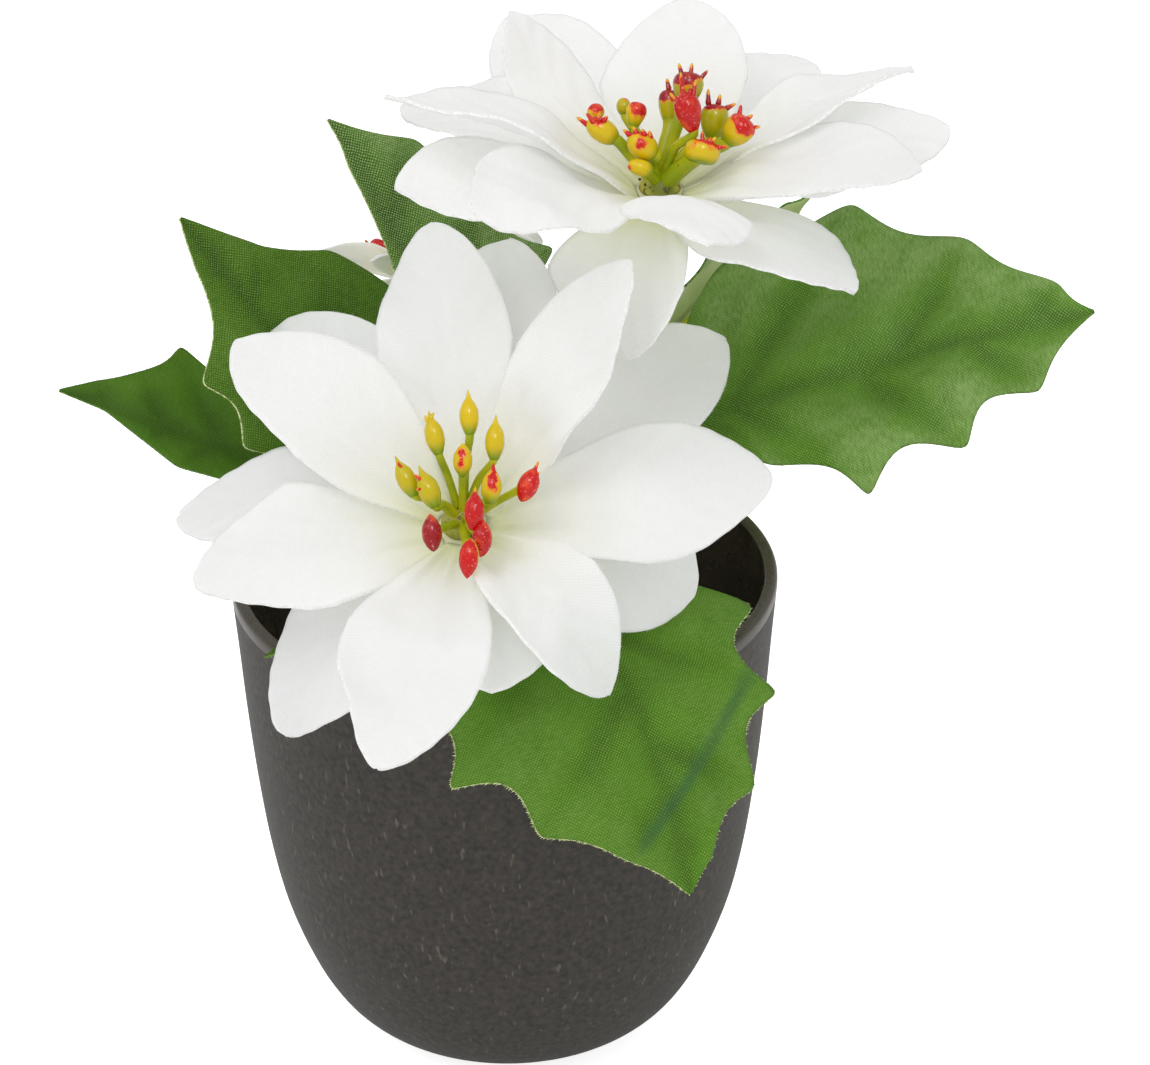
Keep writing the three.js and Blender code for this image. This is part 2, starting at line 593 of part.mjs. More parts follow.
// ---------------------------------------------------------------- the scene graph

const finishes = {
  pot: { color: 0x49453f, roughness: 0.62 },
  filler: { color: 0x1b1815, roughness: 0.9 },
  moulding: { color: 0x9aa81e, roughness: 0.45 },
  petal: { color: 0xf2f2f0, roughness: 0.85 },
  leaf: { color: 0x3f7a24, roughness: 0.7 },
  cyathia: { color: 0xd9a62a, roughness: 0.4 },
};

const part = new THREE.Group();

function addPiece(name, geometry, finish) {
  const material = new THREE.MeshStandardMaterial({ ...finishes[finish], metalness: 0 });
  const mesh = new THREE.Mesh(geometry, material);
  mesh.name = name;
  part.add(mesh);
}

addPiece("pot", potGeometry(), "pot");
addPiece("filler", fillerGeometry(stems), "filler");
for (const stem of stems) {
  const { name, bloom } = stem;
  addPiece(`${name}_stem`, stemGeometry(stem), "moulding");
  addPiece(`${name}_petals_lower`, whorlGeometry(bloom, bloom.lower, LOWER_WHORL), "petal");
  addPiece(`${name}_petals_upper`, whorlGeometry(bloom, bloom.upper, UPPER_WHORL), "petal");
  addPiece(`${name}_cyathia`, cyathiaGeometry(bloom), "cyathia");
}
for (const [name, leaf] of Object.entries(leaves)) {
  addPiece(`leaf_${name}`, leafGeometry(leaf), "leaf");
}

export default part;
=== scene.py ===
"""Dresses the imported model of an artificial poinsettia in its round-bottomed pot.

Fabric petals and leaves, moulded stems and flower centres, and the pot are built here in millimetres. They
become meshes in metres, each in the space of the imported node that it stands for.
"""

import logging
import math
from dataclasses import dataclass, field
from enum import Enum
from typing import Any, Sequence

import bpy
import numpy as np
from mathutils import Matrix, Vector

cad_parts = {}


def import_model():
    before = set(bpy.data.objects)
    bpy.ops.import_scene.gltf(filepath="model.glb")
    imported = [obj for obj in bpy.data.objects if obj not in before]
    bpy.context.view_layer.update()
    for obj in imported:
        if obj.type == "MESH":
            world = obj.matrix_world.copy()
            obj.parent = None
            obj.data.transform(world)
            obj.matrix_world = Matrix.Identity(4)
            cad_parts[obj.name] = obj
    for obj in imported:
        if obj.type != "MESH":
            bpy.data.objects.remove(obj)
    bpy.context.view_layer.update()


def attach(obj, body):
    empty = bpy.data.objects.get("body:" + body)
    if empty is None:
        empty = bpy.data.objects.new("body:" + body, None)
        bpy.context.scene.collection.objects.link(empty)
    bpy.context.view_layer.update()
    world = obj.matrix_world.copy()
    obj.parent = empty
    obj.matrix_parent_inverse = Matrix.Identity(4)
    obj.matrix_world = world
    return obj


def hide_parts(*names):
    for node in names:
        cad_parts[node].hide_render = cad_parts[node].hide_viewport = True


Pair = tuple[float, float]
Triple = tuple[float, float, float]

MM = 0.001
BODY = "root"
FILLER_TOP = 46.0
CLOTH_THICKNESS = 0.34

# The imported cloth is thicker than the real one, so that it is solid, and the ribs were set clear of that.
PACKED_CLOTH_THICKNESS = 0.65
RIB_GAP = 0.3
RIB_RADIUS = 0.45

log = logging.getLogger("poinsettia")


# ---------------------------------------------------------------- vectors and curves


def unit(vector: Sequence[float]) -> np.ndarray:
    """Returns the vector at length one."""
    vector = np.asarray(vector, float)
    return vector / np.linalg.norm(vector)


def turned_to(axis: Sequence[float]) -> np.ndarray:
    """Finds a frame whose third axis is the one given.

    Args:
        axis: the direction that +Z is turned to.

    Returns:
        A matrix whose rows are the frame's right, up and out.
    """
    out = unit(axis)
    spare = (1.0, 0.0, 0.0) if abs(out[0]) < 0.9 else (0.0, 1.0, 0.0)
    right = unit(np.asarray(spare) - out * np.dot(spare, out))
    return np.stack([right, np.cross(out, right), out])


def smooth_path(points: Sequence[Sequence[float]], count: int) -> np.ndarray:
    """Runs a centripetal Catmull-Rom curve through points.

    Args:
        points: the points that the curve passes through.
        count: how many points to return.

    Returns:
        Points spaced evenly along the curve.
    """
    knots = np.array(points, float)
    knots = np.vstack([2 * knots[0] - knots[1], knots, 2 * knots[-1] - knots[-2]])
    fine = []
    u = np.linspace(0, 1, 24, endpoint=False)[:, None]
    for a, b, c, d in zip(knots, knots[1:], knots[2:], knots[3:]):
        before, here, after = (math.sqrt(np.linalg.norm(q - p)) for p, q in ((a, b), (b, c), (c, d)))
        leave = ((b - a) / before - (c - a) / (before + here) + (c - b) / here) * here
        arrive = ((c - b) / here - (d - b) / (here + after) + (d - c) / after) * here
        square = -3 * b + 3 * c - 2 * leave - arrive
        cube = 2 * b - 2 * c + leave + arrive
        fine.append(b + leave * u + square * u**2 + cube * u**3)
    fine.append(knots[-2:-1])
    line = np.vstack(fine)
    lengths = np.concatenate([[0], np.cumsum(np.linalg.norm(np.diff(line, axis=0), axis=1))])
    wanted = np.linspace(0, lengths[-1], count)
    return np.stack([np.interp(wanted, lengths, line[:, k]) for k in range(line.shape[1])], axis=1)


def area_under(along: np.ndarray, height: np.ndarray) -> float:
    """Returns the area between a line and its base."""
    return float(((height[1:] + height[:-1]) / 2 * np.diff(along)).sum())


def eased(value: np.ndarray, low: float, high: float) -> np.ndarray:
    """Returns a smooth step from 0 at low to 1 at high."""
    share = np.clip((value - low) / (high - low), 0, 1)
    return share * share * (3 - 2 * share)


def hash_seed(*words: Any) -> int:
    """Returns a seed that is the same each run for the same words."""
    return sum((k + 1) * ord(c) for k, c in enumerate("".join(str(word) for word in words)))


# ---------------------------------------------------------------- meshes


@dataclass
class Draft:
    """A mesh being put together: its points, its faces, and what its finishes read at each point."""

    points: list[np.ndarray] = field(default_factory=list)
    faces: list[list[int]] = field(default_factory=list)
    slots: list[int] = field(default_factory=list)
    smooth: list[bool] = field(default_factory=list)
    cloth: list[np.ndarray] = field(default_factory=list)
    marks: dict[str, list[np.ndarray]] = field(default_factory=dict)
    size: int = 0

    def add(
        self,
        points: np.ndarray,
        faces: np.ndarray | list[list[int]],
        slot: int = 0,
        smooth: bool = True,
        cloth: np.ndarray | None = None,
        **marks: np.ndarray,
    ) -> None:
        """Adds a shell.

        Args:
            points: its points, in millimetres.
            faces: rows of indices into those points.
            slot: the finish of its faces.
            smooth: whether they are shaded smooth.
            cloth: each point's place on the flat cloth, in millimetres.
            marks: named values, one for each point.
        """
        first = self.size
        self.points.append(points)
        self.cloth.append(np.zeros((len(points), 2)) if cloth is None else cloth)
        for name in {**self.marks, **marks}:
            rows = self.marks.setdefault(name, [np.zeros(first)])
            rows.append(np.broadcast_to(marks.get(name, 0.0), (len(points),)))
        self.size += len(points)
        self.add_faces(faces, first, slot, smooth)

    def add_faces(self, faces: np.ndarray | list[list[int]], first: int, slot: int, smooth: bool) -> None:
        """Adds faces on points that are there already.

        Args:
            faces: rows of indices.
            first: the point that they are counted from.
            slot: their finish.
            smooth: whether they are shaded smooth.
        """
        self.faces.extend([first + i for i in face] for face in np.asarray(faces).tolist())
        self.slots.extend([slot] * len(faces))
        self.smooth.extend([smooth] * len(faces))

    def mesh(self, name: str, finishes: Sequence[bpy.types.Material]) -> bpy.types.Mesh:
        """Makes the mesh.

        Args:
            name: the mesh's name.
            finishes: one material for each slot.

        Returns:
            The mesh, in metres.
        """
        mesh = bpy.data.meshes.new(name)
        mesh.from_pydata((np.concatenate(self.points) * MM).tolist(), [], self.faces)
        corners = np.empty(len(mesh.loops), np.int32)
        mesh.loops.foreach_get("vertex_index", corners)
        flat = mesh.uv_layers.new(name="cloth")
        flat.data.foreach_set("uv", np.concatenate(self.cloth)[corners].ravel())
        for key, rows in self.marks.items():
            layer = mesh.attributes.new(key, "FLOAT", "POINT")
            layer.data.foreach_set("value", np.concatenate(rows))
        for finish in finishes:
            mesh.materials.append(finish)
        mesh.polygons.foreach_set("material_index", self.slots)
        mesh.polygons.foreach_set("use_smooth", self.smooth)
        mesh.update()
        return mesh

    def lathe(
        self,
        outline: np.ndarray,
        sides: int,
        origin: Sequence[float] = (0, 0, 0),
        axis: Sequence[float] = (0, 0, 1),
        slots: Sequence[int] | None = None,
        **marks: Any,
    ) -> None:
        """Adds a turned shape whose outline starts and ends on its axis.

        Args:
            outline: rows of radius and height, with its outside to the right of its way up.
            sides: how many sides a ring has.
            origin: where the axis starts.
            axis: the axis.
            slots: the finish of each band between two rows.
            marks: named values, or functions of the local points that give them.
        """
        outline = np.asarray(outline, float)
        rings = outline[1:-1]
        angles = np.linspace(0, math.tau, sides, endpoint=False)
        ring = np.stack([np.cos(angles), np.sin(angles)], 1)
        around = np.concatenate([rings[:, None, :1] * ring, np.repeat(rings[:, None, 1:], sides, 1)], 2)
        local = np.vstack([around.reshape(-1, 3), [0, 0, outline[0, 1]], [0, 0, outline[-1, 1]]])
        values = {name: mark(local) if callable(mark) else mark for name, mark in marks.items()}
        bands = len(rings) - 1
        k = np.arange(sides)
        after = (k + 1) % sides
        first = self.size
        slots = slots or [0] * (bands + 2)
        self.add(local @ turned_to(axis) + np.asarray(origin, float), [], **values)
        base, crown = len(local) - 2, len(local) - 1
        self.add_faces(np.stack([np.full(sides, base), after, k], 1), first, slots[0], True)
        for band in range(bands):
            low, high = band * sides, (band + 1) * sides
            quads = np.stack([low + k, low + after, high + after, high + k], 1)
            self.add_faces(quads, first, slots[band + 1], True)
        last = bands * sides
        self.add_faces(np.stack([last + k, last + after, np.full(sides, crown)], 1), first, slots[-1], True)

    def blade(
        self,
        grid: np.ndarray,
        flat: np.ndarray,
        relief: np.ndarray,
        thickness: float,
        slots: tuple[int, int, int] = (0, 0, 0),
        **marks: np.ndarray,
    ) -> np.ndarray:
        """Adds a closed piece of cloth on a grid of surface points.

        Args:
            grid: the cloth's middle, in rows and columns.
            flat: each point's place on the flat cloth.
            relief: how far each point stands proud.
            thickness: the cloth's thickness.
            slots: the finishes of its top, underside and cut edge.
            marks: named values, one for each grid point.

        Returns:
            The cut edge as rows of a point and its outward direction.
        """
        rows, cols = grid.shape[:2]
        normal = np.cross(np.gradient(grid, axis=0), np.gradient(grid, axis=1))
        normal /= np.linalg.norm(normal, axis=2, keepdims=True)
        middle = grid + normal * relief[..., None]
        sides = np.stack([middle + normal * thickness / 2, middle - normal * thickness / 2])
        values = {name: np.tile(mark.ravel(), 2) for name, mark in marks.items()}
        first = self.size
        self.add(sides.reshape(-1, 3), [], cloth=np.tile(flat.reshape(-1, 2), (2, 1)), **values)
        index = np.arange(rows * cols).reshape(rows, cols)
        quads = np.stack([index[:-1, :-1], index[1:, :-1], index[1:, 1:], index[:-1, 1:]], -1).reshape(-1, 4)
        self.add_faces(quads, first, slots[0], True)
        self.add_faces(quads[:, ::-1] + rows * cols, first, slots[1], True)
        border = np.concatenate([index[:-1, 0], index[-1, :-1], index[:0:-1, -1], index[0, :0:-1]])
        after = np.roll(border, -1)
        strip = np.stack([after, border, border + rows * cols, after + rows * cols], 1)
        self.add_faces(strip, first, slots[2], False)
        ends = [(middle[:, 0], middle[:, 1]), (middle[-1], middle[-2]), (middle[::-1, -1], middle[::-1, -2])]
        edge = np.vstack([outer for outer, _ in ends])
        outward = np.vstack([outer - inner for outer, inner in ends])
        outward /= np.linalg.norm(outward, axis=1, keepdims=True) + 1e-9
        return np.hstack([edge, outward])


def placed(name: str, mesh: bpy.types.Mesh, nodes: Sequence[str] = ()) -> bpy.types.Object:
    """Puts a mesh in the scene as a piece of the model.

    Args:
        name: the piece's name.
        mesh: its mesh, in metres in the model's frame.
        nodes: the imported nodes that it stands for.

    Returns:
        The piece.
    """
    piece = bpy.data.objects.new(name, mesh)
    bpy.context.scene.collection.objects.link(piece)
    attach(piece, BODY)
    if nodes:
        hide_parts(*nodes)
    log.info("%s: %d faces", name, len(mesh.polygons))
    return piece


# ---------------------------------------------------------------- node trees


def feed(tree: bpy.types.NodeTree, node: bpy.types.Node, inputs: dict[Any, Any]) -> None:
    """Sets or links a node's inputs.

    Args:
        tree: the node's tree.
        node: the node.
        inputs: a value or a socket to link, for each input's name or number.
    """
    for key, value in inputs.items():
        if isinstance(value, bpy.types.NodeSocket):
            tree.links.new(value, node.inputs[key])
        else:
            node.inputs[key].default_value = value


def add(
    tree: bpy.types.NodeTree, kind: str, inputs: dict[Any, Any] | None = None, **settings: Any
) -> bpy.types.Node:
    """Adds a node to a tree.

    Args:
        tree: the tree.
        kind: the node's type.
        inputs: a value or a socket to link, for each input's name or number.
        settings: the node's own settings.

    Returns:
        The node.
    """
    made = tree.nodes.new(kind)
    for key, value in settings.items():
        setattr(made, key, value)
    feed(tree, made, inputs or {})
    return made


def colour(code: str) -> tuple[float, float, float, float]:
    """Turns a colour to linear.

    Args:
        code: its sRGB hex value.

    Returns:
        Its red, green, blue and alpha.
    """
    parts = [int(code[k : k + 2], 16) / 255 for k in (1, 3, 5)]
    red, green, blue = (p / 12.92 if p <= 0.04045 else ((p + 0.055) / 1.055) ** 2.4 for p in parts)
    return red, green, blue, 1.0


def cells(size: float) -> float:
    """Returns the scale of a pattern on Object coordinates whose cells have a size in millimetres."""
    return 1 / (size * MM)


def node_mesh(lines: bpy.types.Mesh, tree: bpy.types.NodeTree, sizes: dict[str, Any]) -> bpy.types.Mesh:
    """Runs a Geometry Nodes tree on lines.

    Args:
        lines: the mesh whose edges the tree follows.
        tree: the tree.
        sizes: the value of each of its named inputs.

    Returns:
        The result as a plain mesh.
    """
    carrier = bpy.data.objects.new("carrier", lines)
    bpy.context.scene.collection.objects.link(carrier)
    modifier = carrier.modifiers.new("build", "NODES")
    modifier.node_group = tree
    for item in tree.interface.items_tree:
        if item.in_out == "INPUT" and item.name in sizes:
            modifier[item.identifier] = sizes[item.name]
    depsgraph = bpy.context.evaluated_depsgraph_get()
    mesh = bpy.data.meshes.new_from_object(carrier.evaluated_get(depsgraph))
    carrier.modifiers.remove(modifier)
    bpy.data.objects.remove(carrier)
    return mesh


def lines_mesh(lines: Sequence[np.ndarray], name: str, kind: str) -> bpy.types.Mesh:
    """Makes a mesh of open lines with one value at each point.

    Args:
        lines: for each line, rows of a point in millimetres and its value.
        name: the value's name.
        kind: FLOAT for a number, FLOAT_VECTOR for a direction.

    Returns:
        The mesh, in metres.
    """
    rows = np.vstack(lines)
    edges = []
    first = 0
    for line in lines:
        edges += [(first + k, first + k + 1) for k in range(len(line) - 1)]
        first += len(line)
    mesh = bpy.data.meshes.new("lines")
    mesh.from_pydata((rows[:, :3] * MM).tolist(), edges, [])
    layer = mesh.attributes.new(name, kind, "POINT")
    layer.data.foreach_set("value" if kind == "FLOAT" else "vector", rows[:, 3:].ravel())
    return mesh


class RodTree:
    """Sweeps a round section along lines, as thick at each point as its radius says."""

    sides = 14

    def __init__(self) -> None:
        """Builds the tree."""
        tree = bpy.data.node_groups.new("swept rods", "GeometryNodeTree")
        face = tree.interface
        face.new_socket("Lines", in_out="INPUT", socket_type="NodeSocketGeometry")
        face.new_socket("Sides", in_out="INPUT", socket_type="NodeSocketInt")
        face.new_socket("Finish", in_out="INPUT", socket_type="NodeSocketMaterial")
        face.new_socket("Rods", in_out="OUTPUT", socket_type="NodeSocketGeometry")
        given = add(tree, "NodeGroupInput").outputs
        path = add(tree, "GeometryNodeMeshToCurve", {"Mesh": given["Lines"]})
        section = add(tree, "GeometryNodeCurvePrimitiveCircle", {"Resolution": given["Sides"], "Radius": 1.0})
        radius = add(tree, "GeometryNodeInputNamedAttribute", {"Name": "radius"})
        swept = add(tree, "GeometryNodeCurveToMesh", {
            "Curve": path.outputs[0], "Profile Curve": section.outputs[0],
            "Scale": radius.outputs[0], "Fill Caps": True,
        })
        soft = add(tree, "GeometryNodeSetShadeSmooth", {"Geometry": swept.outputs[0], "Shade Smooth": True})
        real = add(tree, "GeometryNodeRealizeInstances", {"Geometry": soft.outputs[0]})
        done = add(tree, "GeometryNodeSetMaterial",
                   {"Geometry": real.outputs[0], "Material": given["Finish"]})
        add(tree, "NodeGroupOutput", {"Rods": done.outputs[0]})
        self.tree = tree

    def mesh(self, rods: Sequence[np.ndarray], finish: bpy.types.Material) -> bpy.types.Mesh:
        """Sweeps rods.

        Args:
            rods: for each rod, rows of a point and a radius, in millimetres.
            finish: their material.

        Returns:
            The rods' mesh.
        """
        scaled = [rod * np.array([1, 1, 1, MM]) for rod in rods]
        lines = lines_mesh(scaled, "radius", "FLOAT")
        return node_mesh(lines, self.tree, {"Sides": self.sides, "Finish": finish})


class FrayTree:
    """Stands cut thread ends along the edge of a cloth, of mixed lengths down to a share of the longest."""

    shortest = 0.25

    def __init__(self) -> None:
        """Builds the tree."""
        tree = bpy.data.node_groups.new("frayed threads", "GeometryNodeTree")
        face = tree.interface
        face.new_socket("Edge", in_out="INPUT", socket_type="NodeSocketGeometry")
        for name in ("Spacing", "Length", "Radius", "Spread"):
            face.new_socket(name, in_out="INPUT", socket_type="NodeSocketFloat")
        face.new_socket("Seed", in_out="INPUT", socket_type="NodeSocketInt")
        face.new_socket("Finish", in_out="INPUT", socket_type="NodeSocketMaterial")
        face.new_socket("Threads", in_out="OUTPUT", socket_type="NodeSocketGeometry")
        given = add(tree, "NodeGroupInput").outputs
        path = add(tree, "GeometryNodeMeshToCurve", {"Mesh": given["Edge"]})
        even = add(tree, "GeometryNodeResampleCurve",
                   {"Curve": path.outputs[0], "Length": given["Spacing"]}, mode="LENGTH")
        thread = add(tree, "GeometryNodeMeshCone", {
            "Vertices": 3, "Radius Top": 0.0, "Radius Bottom": given["Radius"], "Depth": given["Length"],
        })
        outward = add(tree, "GeometryNodeInputNamedAttribute", {"Name": "outward"}, data_type="FLOAT_VECTOR")
        least = add(tree, "ShaderNodeMath", {0: given["Spread"], 1: -1.0}, operation="MULTIPLY")
        stray = add(tree, "FunctionNodeRandomValue",
                    {0: least.outputs[0], 1: given["Spread"], "Seed": given["Seed"]},
                    data_type="FLOAT_VECTOR")
        lean = add(tree, "ShaderNodeVectorMath",
                   {0: outward.outputs[0], 1: stray.outputs[0]}, operation="ADD")
        turn = add(tree, "FunctionNodeAlignRotationToVector", {"Vector": lean.outputs[0]}, axis="Z")
        other = add(tree, "ShaderNodeMath", {0: given["Seed"], 1: 1.0}, operation="ADD")
        reach = add(tree, "FunctionNodeRandomValue",
                    {2: self.shortest, 3: 1.0, "Seed": other.outputs[0]}, data_type="FLOAT")
        size = add(tree, "ShaderNodeCombineXYZ", {0: 1.0, 1: 1.0, 2: reach.outputs[1]})
        stood = add(tree, "GeometryNodeInstanceOnPoints", {
            "Points": even.outputs[0], "Instance": thread.outputs["Mesh"],
            "Rotation": turn.outputs[0], "Scale": size.outputs[0],
        })
        real = add(tree, "GeometryNodeRealizeInstances", {"Geometry": stood.outputs[0]})
        done = add(tree, "GeometryNodeSetMaterial",
                   {"Geometry": real.outputs[0], "Material": given["Finish"]})
        add(tree, "NodeGroupOutput", {"Threads": done.outputs[0]})
        self.tree = tree

    def piece(
        self, name: str, slot: str, edges: Sequence[np.ndarray], cut: "CutEdge", seed: int
    ) -> bpy.types.Object:
        """Frays the edges of a sheet.

        Args:
            name: the threads' name.
            slot: the sheet's material slot; not used.
            edges: rows of a point and its outward direction, for each edge.
            cut: how the cloth frays.
            seed: what the threads' lengths and ways are drawn from.

        Returns:
            The threads as one piece.
        """
        lines = lines_mesh(edges, "outward", "FLOAT_VECTOR")
        sizes = {
            "Spacing": cut.spacing * MM, "Length": cut.length * MM, "Radius": cut.radius * MM,
            "Spread": cut.spread, "Seed": seed, "Finish": cut.finish.material(),
        }
        return placed(name, node_mesh(lines, self.tree, sizes))


# ---------------------------------------------------------------- finishes


@dataclass(frozen=True)
class Finish:
    """What each finish has: its name, and the settings that are the same all over the surface."""

    name: str
    roughness: float = 0.5
    ior: float = 1.46

    def material(self) -> bpy.types.Material:
        """Makes the finish's material, once.

        Returns:
            The material.
        """
        found = bpy.data.materials.get(self.name)
        if found:
            return found
        made = bpy.data.materials.new(self.name)
        made.use_nodes = True
        shader = made.node_tree.nodes["Principled BSDF"]
        feed(made.node_tree, shader, {"Roughness": self.roughness, "IOR": self.ior})
        self.dress(made.node_tree, shader)
        return made

    def dress(self, tree: bpy.types.NodeTree, shader: bpy.types.Node) -> None:
        """Adds the finish's colours and texture.

        Args:
            tree: the material's node tree.
            shader: its Principled BSDF.
        """
        raise NotImplementedError


@dataclass(frozen=True)
class Weave:
    """A plain weave, in which each thread passes over and under the next, and no two threads are as tight.

    Its sizes are in millimetres, as its map on the flat cloth is. The streaks are shades that run on along a
    thread and end after a thread or so across.
    """

    thread: float = 0.225
    slack: float = 0.5
    slack_size: float = 2.0
    streak_length: float = 1.1111
    streak_width: float = 0.27778

    def over(self, tree: bpy.types.NodeTree) -> bpy.types.NodeSocket:
        """Works out where the threads pass over and under each other.

        Args:
            tree: the material's node tree.

        Returns:
            A value that is 1 where a thread comes up and 0 where it dives.
        """
        place = add(tree, "ShaderNodeUVMap", uv_map="cloth").outputs[0]
        loose = add(tree, "ShaderNodeTexNoise",
                    {"Vector": place, "Scale": 1 / self.slack_size, "Detail": 2.0})
        shift = add(tree, "ShaderNodeVectorMath",
                    {0: loose.outputs[1], 1: (self.slack,) * 3}, operation="MULTIPLY")
        strayed = add(tree, "ShaderNodeVectorMath", {0: place, 1: shift.outputs[0]}, operation="ADD")
        turns = (math.pi / self.thread,) * 3
        scaled = add(tree, "ShaderNodeVectorMath", {0: strayed.outputs[0], 1: turns}, operation="MULTIPLY")
        waves = add(tree, "ShaderNodeVectorMath", {0: scaled.outputs[0]}, operation="SINE")
        parts = add(tree, "ShaderNodeSeparateXYZ", {0: waves.outputs[0]})
        crossed = add(tree, "ShaderNodeMath", {0: parts.outputs[0], 1: parts.outputs[1]},
                      operation="MULTIPLY")
        return add(tree, "ShaderNodeMath", {0: crossed.outputs[0], 1: 0.5, 2: 0.5},
                   operation="MULTIPLY_ADD").outputs[0]

    def uneven(self, tree: bpy.types.NodeTree) -> bpy.types.NodeSocket:
        """Works out how the threads differ.

        Args:
            tree: the material's node tree.

        Returns:
            A value from 0 to 1 that changes from thread to thread and slowly along each.
        """
        place = add(tree, "ShaderNodeUVMap", uv_map="cloth").outputs[0]
        streaks = (1 / self.streak_length, 1 / self.streak_width, 1.0)
        drawn = add(tree, "ShaderNodeMapping", {"Vector": place, "Scale": streaks}).outputs[0]
        return add(tree, "ShaderNodeTexNoise", {"Vector": drawn, "Scale": 1.0, "Detail": 2.0}).outputs[0]


@dataclass(frozen=True)
class PetalCloth(Finish):
    """White polyester satin, woven and heat-set: soft and faintly see-through, with a cream-green hub."""

    white: str = "#F5F5F4"
    shade: str = "#EDEDEB"
    dye: str = "#E2E4B6"
    weave: Weave = Weave()
    weave_height: float = 0.05
    glow_depth: float = 1.4

    def dress(self, tree: bpy.types.NodeTree, shader: bpy.types.Node) -> None:
        """Adds the weave with painted shade where its threads dive, the threads' faint unevenness and the dye
        at the hub.

        Args:
            tree: the material's node tree.
            shader: its Principled BSDF.
        """
        over = self.weave.over(tree)
        uneven = self.weave.uneven(tree)
        thin = add(tree, "ShaderNodeMath", {0: over, 1: uneven}, operation="MULTIPLY")
        # Painted shade: the cloth turns to its shade colour where the threads dive under each other.
        weave_shade = add(tree, "ShaderNodeMapRange", {0: thin.outputs[0], 1: 0.0, 2: 0.45, 3: 1.0, 4: 0.0})
        body = add(tree, "ShaderNodeMix", {0: weave_shade.outputs[0], 6: colour(self.white), 7: colour(self.shade)},
                   data_type="RGBA")
        hub = add(tree, "ShaderNodeAttribute", attribute_name="hub")
        dyed = add(tree, "ShaderNodeMix", {0: hub.outputs["Fac"], 6: body.outputs[2], 7: colour(self.dye)},
                   data_type="RGBA")
        bump = add(tree, "ShaderNodeBump",
                   {"Strength": 0.4, "Distance": self.weave_height * MM, "Height": thin.outputs[0]})
        feed(tree, shader, {
            "Base Color": dyed.outputs[2], "Normal": bump.outputs[0], "Specular IOR Level": 0.2,
            "Subsurface Weight": 0.85, "Subsurface Radius": (1.0, 1.0, 0.97),
            "Subsurface Scale": self.glow_depth * MM,
        })


@dataclass(frozen=True)
class LeafCloth(Finish):
    """Green polyester, woven and printed, with painted shade in the pressed veins and painted satin
    highlights on the ridges.
    """

    # The deep colour is the print's darker tone, and also the painted shade in the veins.
    deep: str = "#35560F"
    green: str = "#4C7A1E"
    raised: str = "#6F9A3C"
    # On the leaf cloth this colour is a painted satin highlight on the ridges; on the buds it is the thinly
    # brushed paint.
    worn: str = "#86A85A"
    crease: str = "#2F5A3A"
    weave: Weave = Weave()
    weave_height: float = 0.05
    patch_size: float = 6.25
    sheen_size: float = 3.3333
    dots: float = 0.5
    # How strong the painted satin highlight on the ridges is.
    wear: float = 0.6

    def dress(self, tree: bpy.types.NodeTree, shader: bpy.types.Node) -> None:
        """Adds the printed green, the pale raised threads, painted shade in the veins and painted satin
        highlights on the ridges.

        Args:
            tree: the material's node tree.
            shader: its Principled BSDF.
        """
        place = add(tree, "ShaderNodeTexCoord").outputs["Object"]
        patches = add(tree, "ShaderNodeTexNoise",
                      {"Vector": place, "Scale": cells(self.patch_size), "Detail": 5.0})
        # Painted shade: the vein mark pulls the print towards its deep colour along the pressed veins.
        valley = add(tree, "ShaderNodeAttribute", attribute_name="valley")
        less_vein_shade = add(tree, "ShaderNodeMath",
                      {0: patches.outputs[0], 1: valley.outputs["Fac"]}, operation="SUBTRACT")
        spread = add(tree, "ShaderNodeMapRange", {0: less_vein_shade.outputs[0], 1: -0.2, 2: 0.6})
        printed = add(tree, "ShaderNodeMix",
                      {0: spread.outputs[0], 6: colour(self.deep), 7: colour(self.green)}, data_type="RGBA")
        # Painted highlight: the ridge mark, broken up by noise, mixes in the pale satin colour where sheen
        # would catch the light.
        painted_sheen_ridge = add(tree, "ShaderNodeAttribute", attribute_name="painted_sheen_ridge")
        uneven = self.weave.uneven(tree)
        cloudy = add(tree, "ShaderNodeTexNoise",
                     {"Vector": place, "Scale": cells(self.sheen_size), "Detail": 7.0})
        both = add(tree, "ShaderNodeMath", {0: cloudy.outputs[0], 1: uneven}, operation="ADD")
        sheen_patches = add(tree, "ShaderNodeMapRange",
                     {0: both.outputs[0], 1: 0.75, 2: 1.25, 3: self.wear * 0.2, 4: self.wear})
        painted_sheen = add(tree, "ShaderNodeMath",
                   {0: painted_sheen_ridge.outputs["Fac"], 1: sheen_patches.outputs[0]}, operation="MULTIPLY")
        satin = add(tree, "ShaderNodeMix", {0: painted_sheen.outputs[0], 6: printed.outputs[2], 7: colour(self.worn)},
                    data_type="RGBA")
        over = self.weave.over(tree)
        peaks = add(tree, "ShaderNodeMapRange", {0: over, 1: 0.5, 2: 0.85, 3: 0.0, 4: self.dots})
        tight = add(tree, "ShaderNodeMapRange", {0: uneven, 1: 0.3, 2: 0.65, 3: 0.35, 4: 1.0})
        lit = add(tree, "ShaderNodeMath", {0: peaks.outputs[0], 1: tight.outputs[0]}, operation="MULTIPLY")
        dotted = add(tree, "ShaderNodeMix", {0: lit.outputs[0], 6: satin.outputs[2], 7: colour(self.raised)},
                     data_type="RGBA")
        crease = add(tree, "ShaderNodeAttribute", attribute_name="crease")
        pressed = add(tree, "ShaderNodeMix",
                      {0: crease.outputs["Fac"], 6: dotted.outputs[2], 7: colour(self.crease)},
                      data_type="RGBA")
        bump = add(tree, "ShaderNodeBump",
                   {"Strength": 0.5, "Distance": self.weave_height * MM, "Height": over})
        feed(tree, shader, {
            "Base Color": pressed.outputs[2], "Normal": bump.outputs[0], "Specular IOR Level": 0.22,
        })


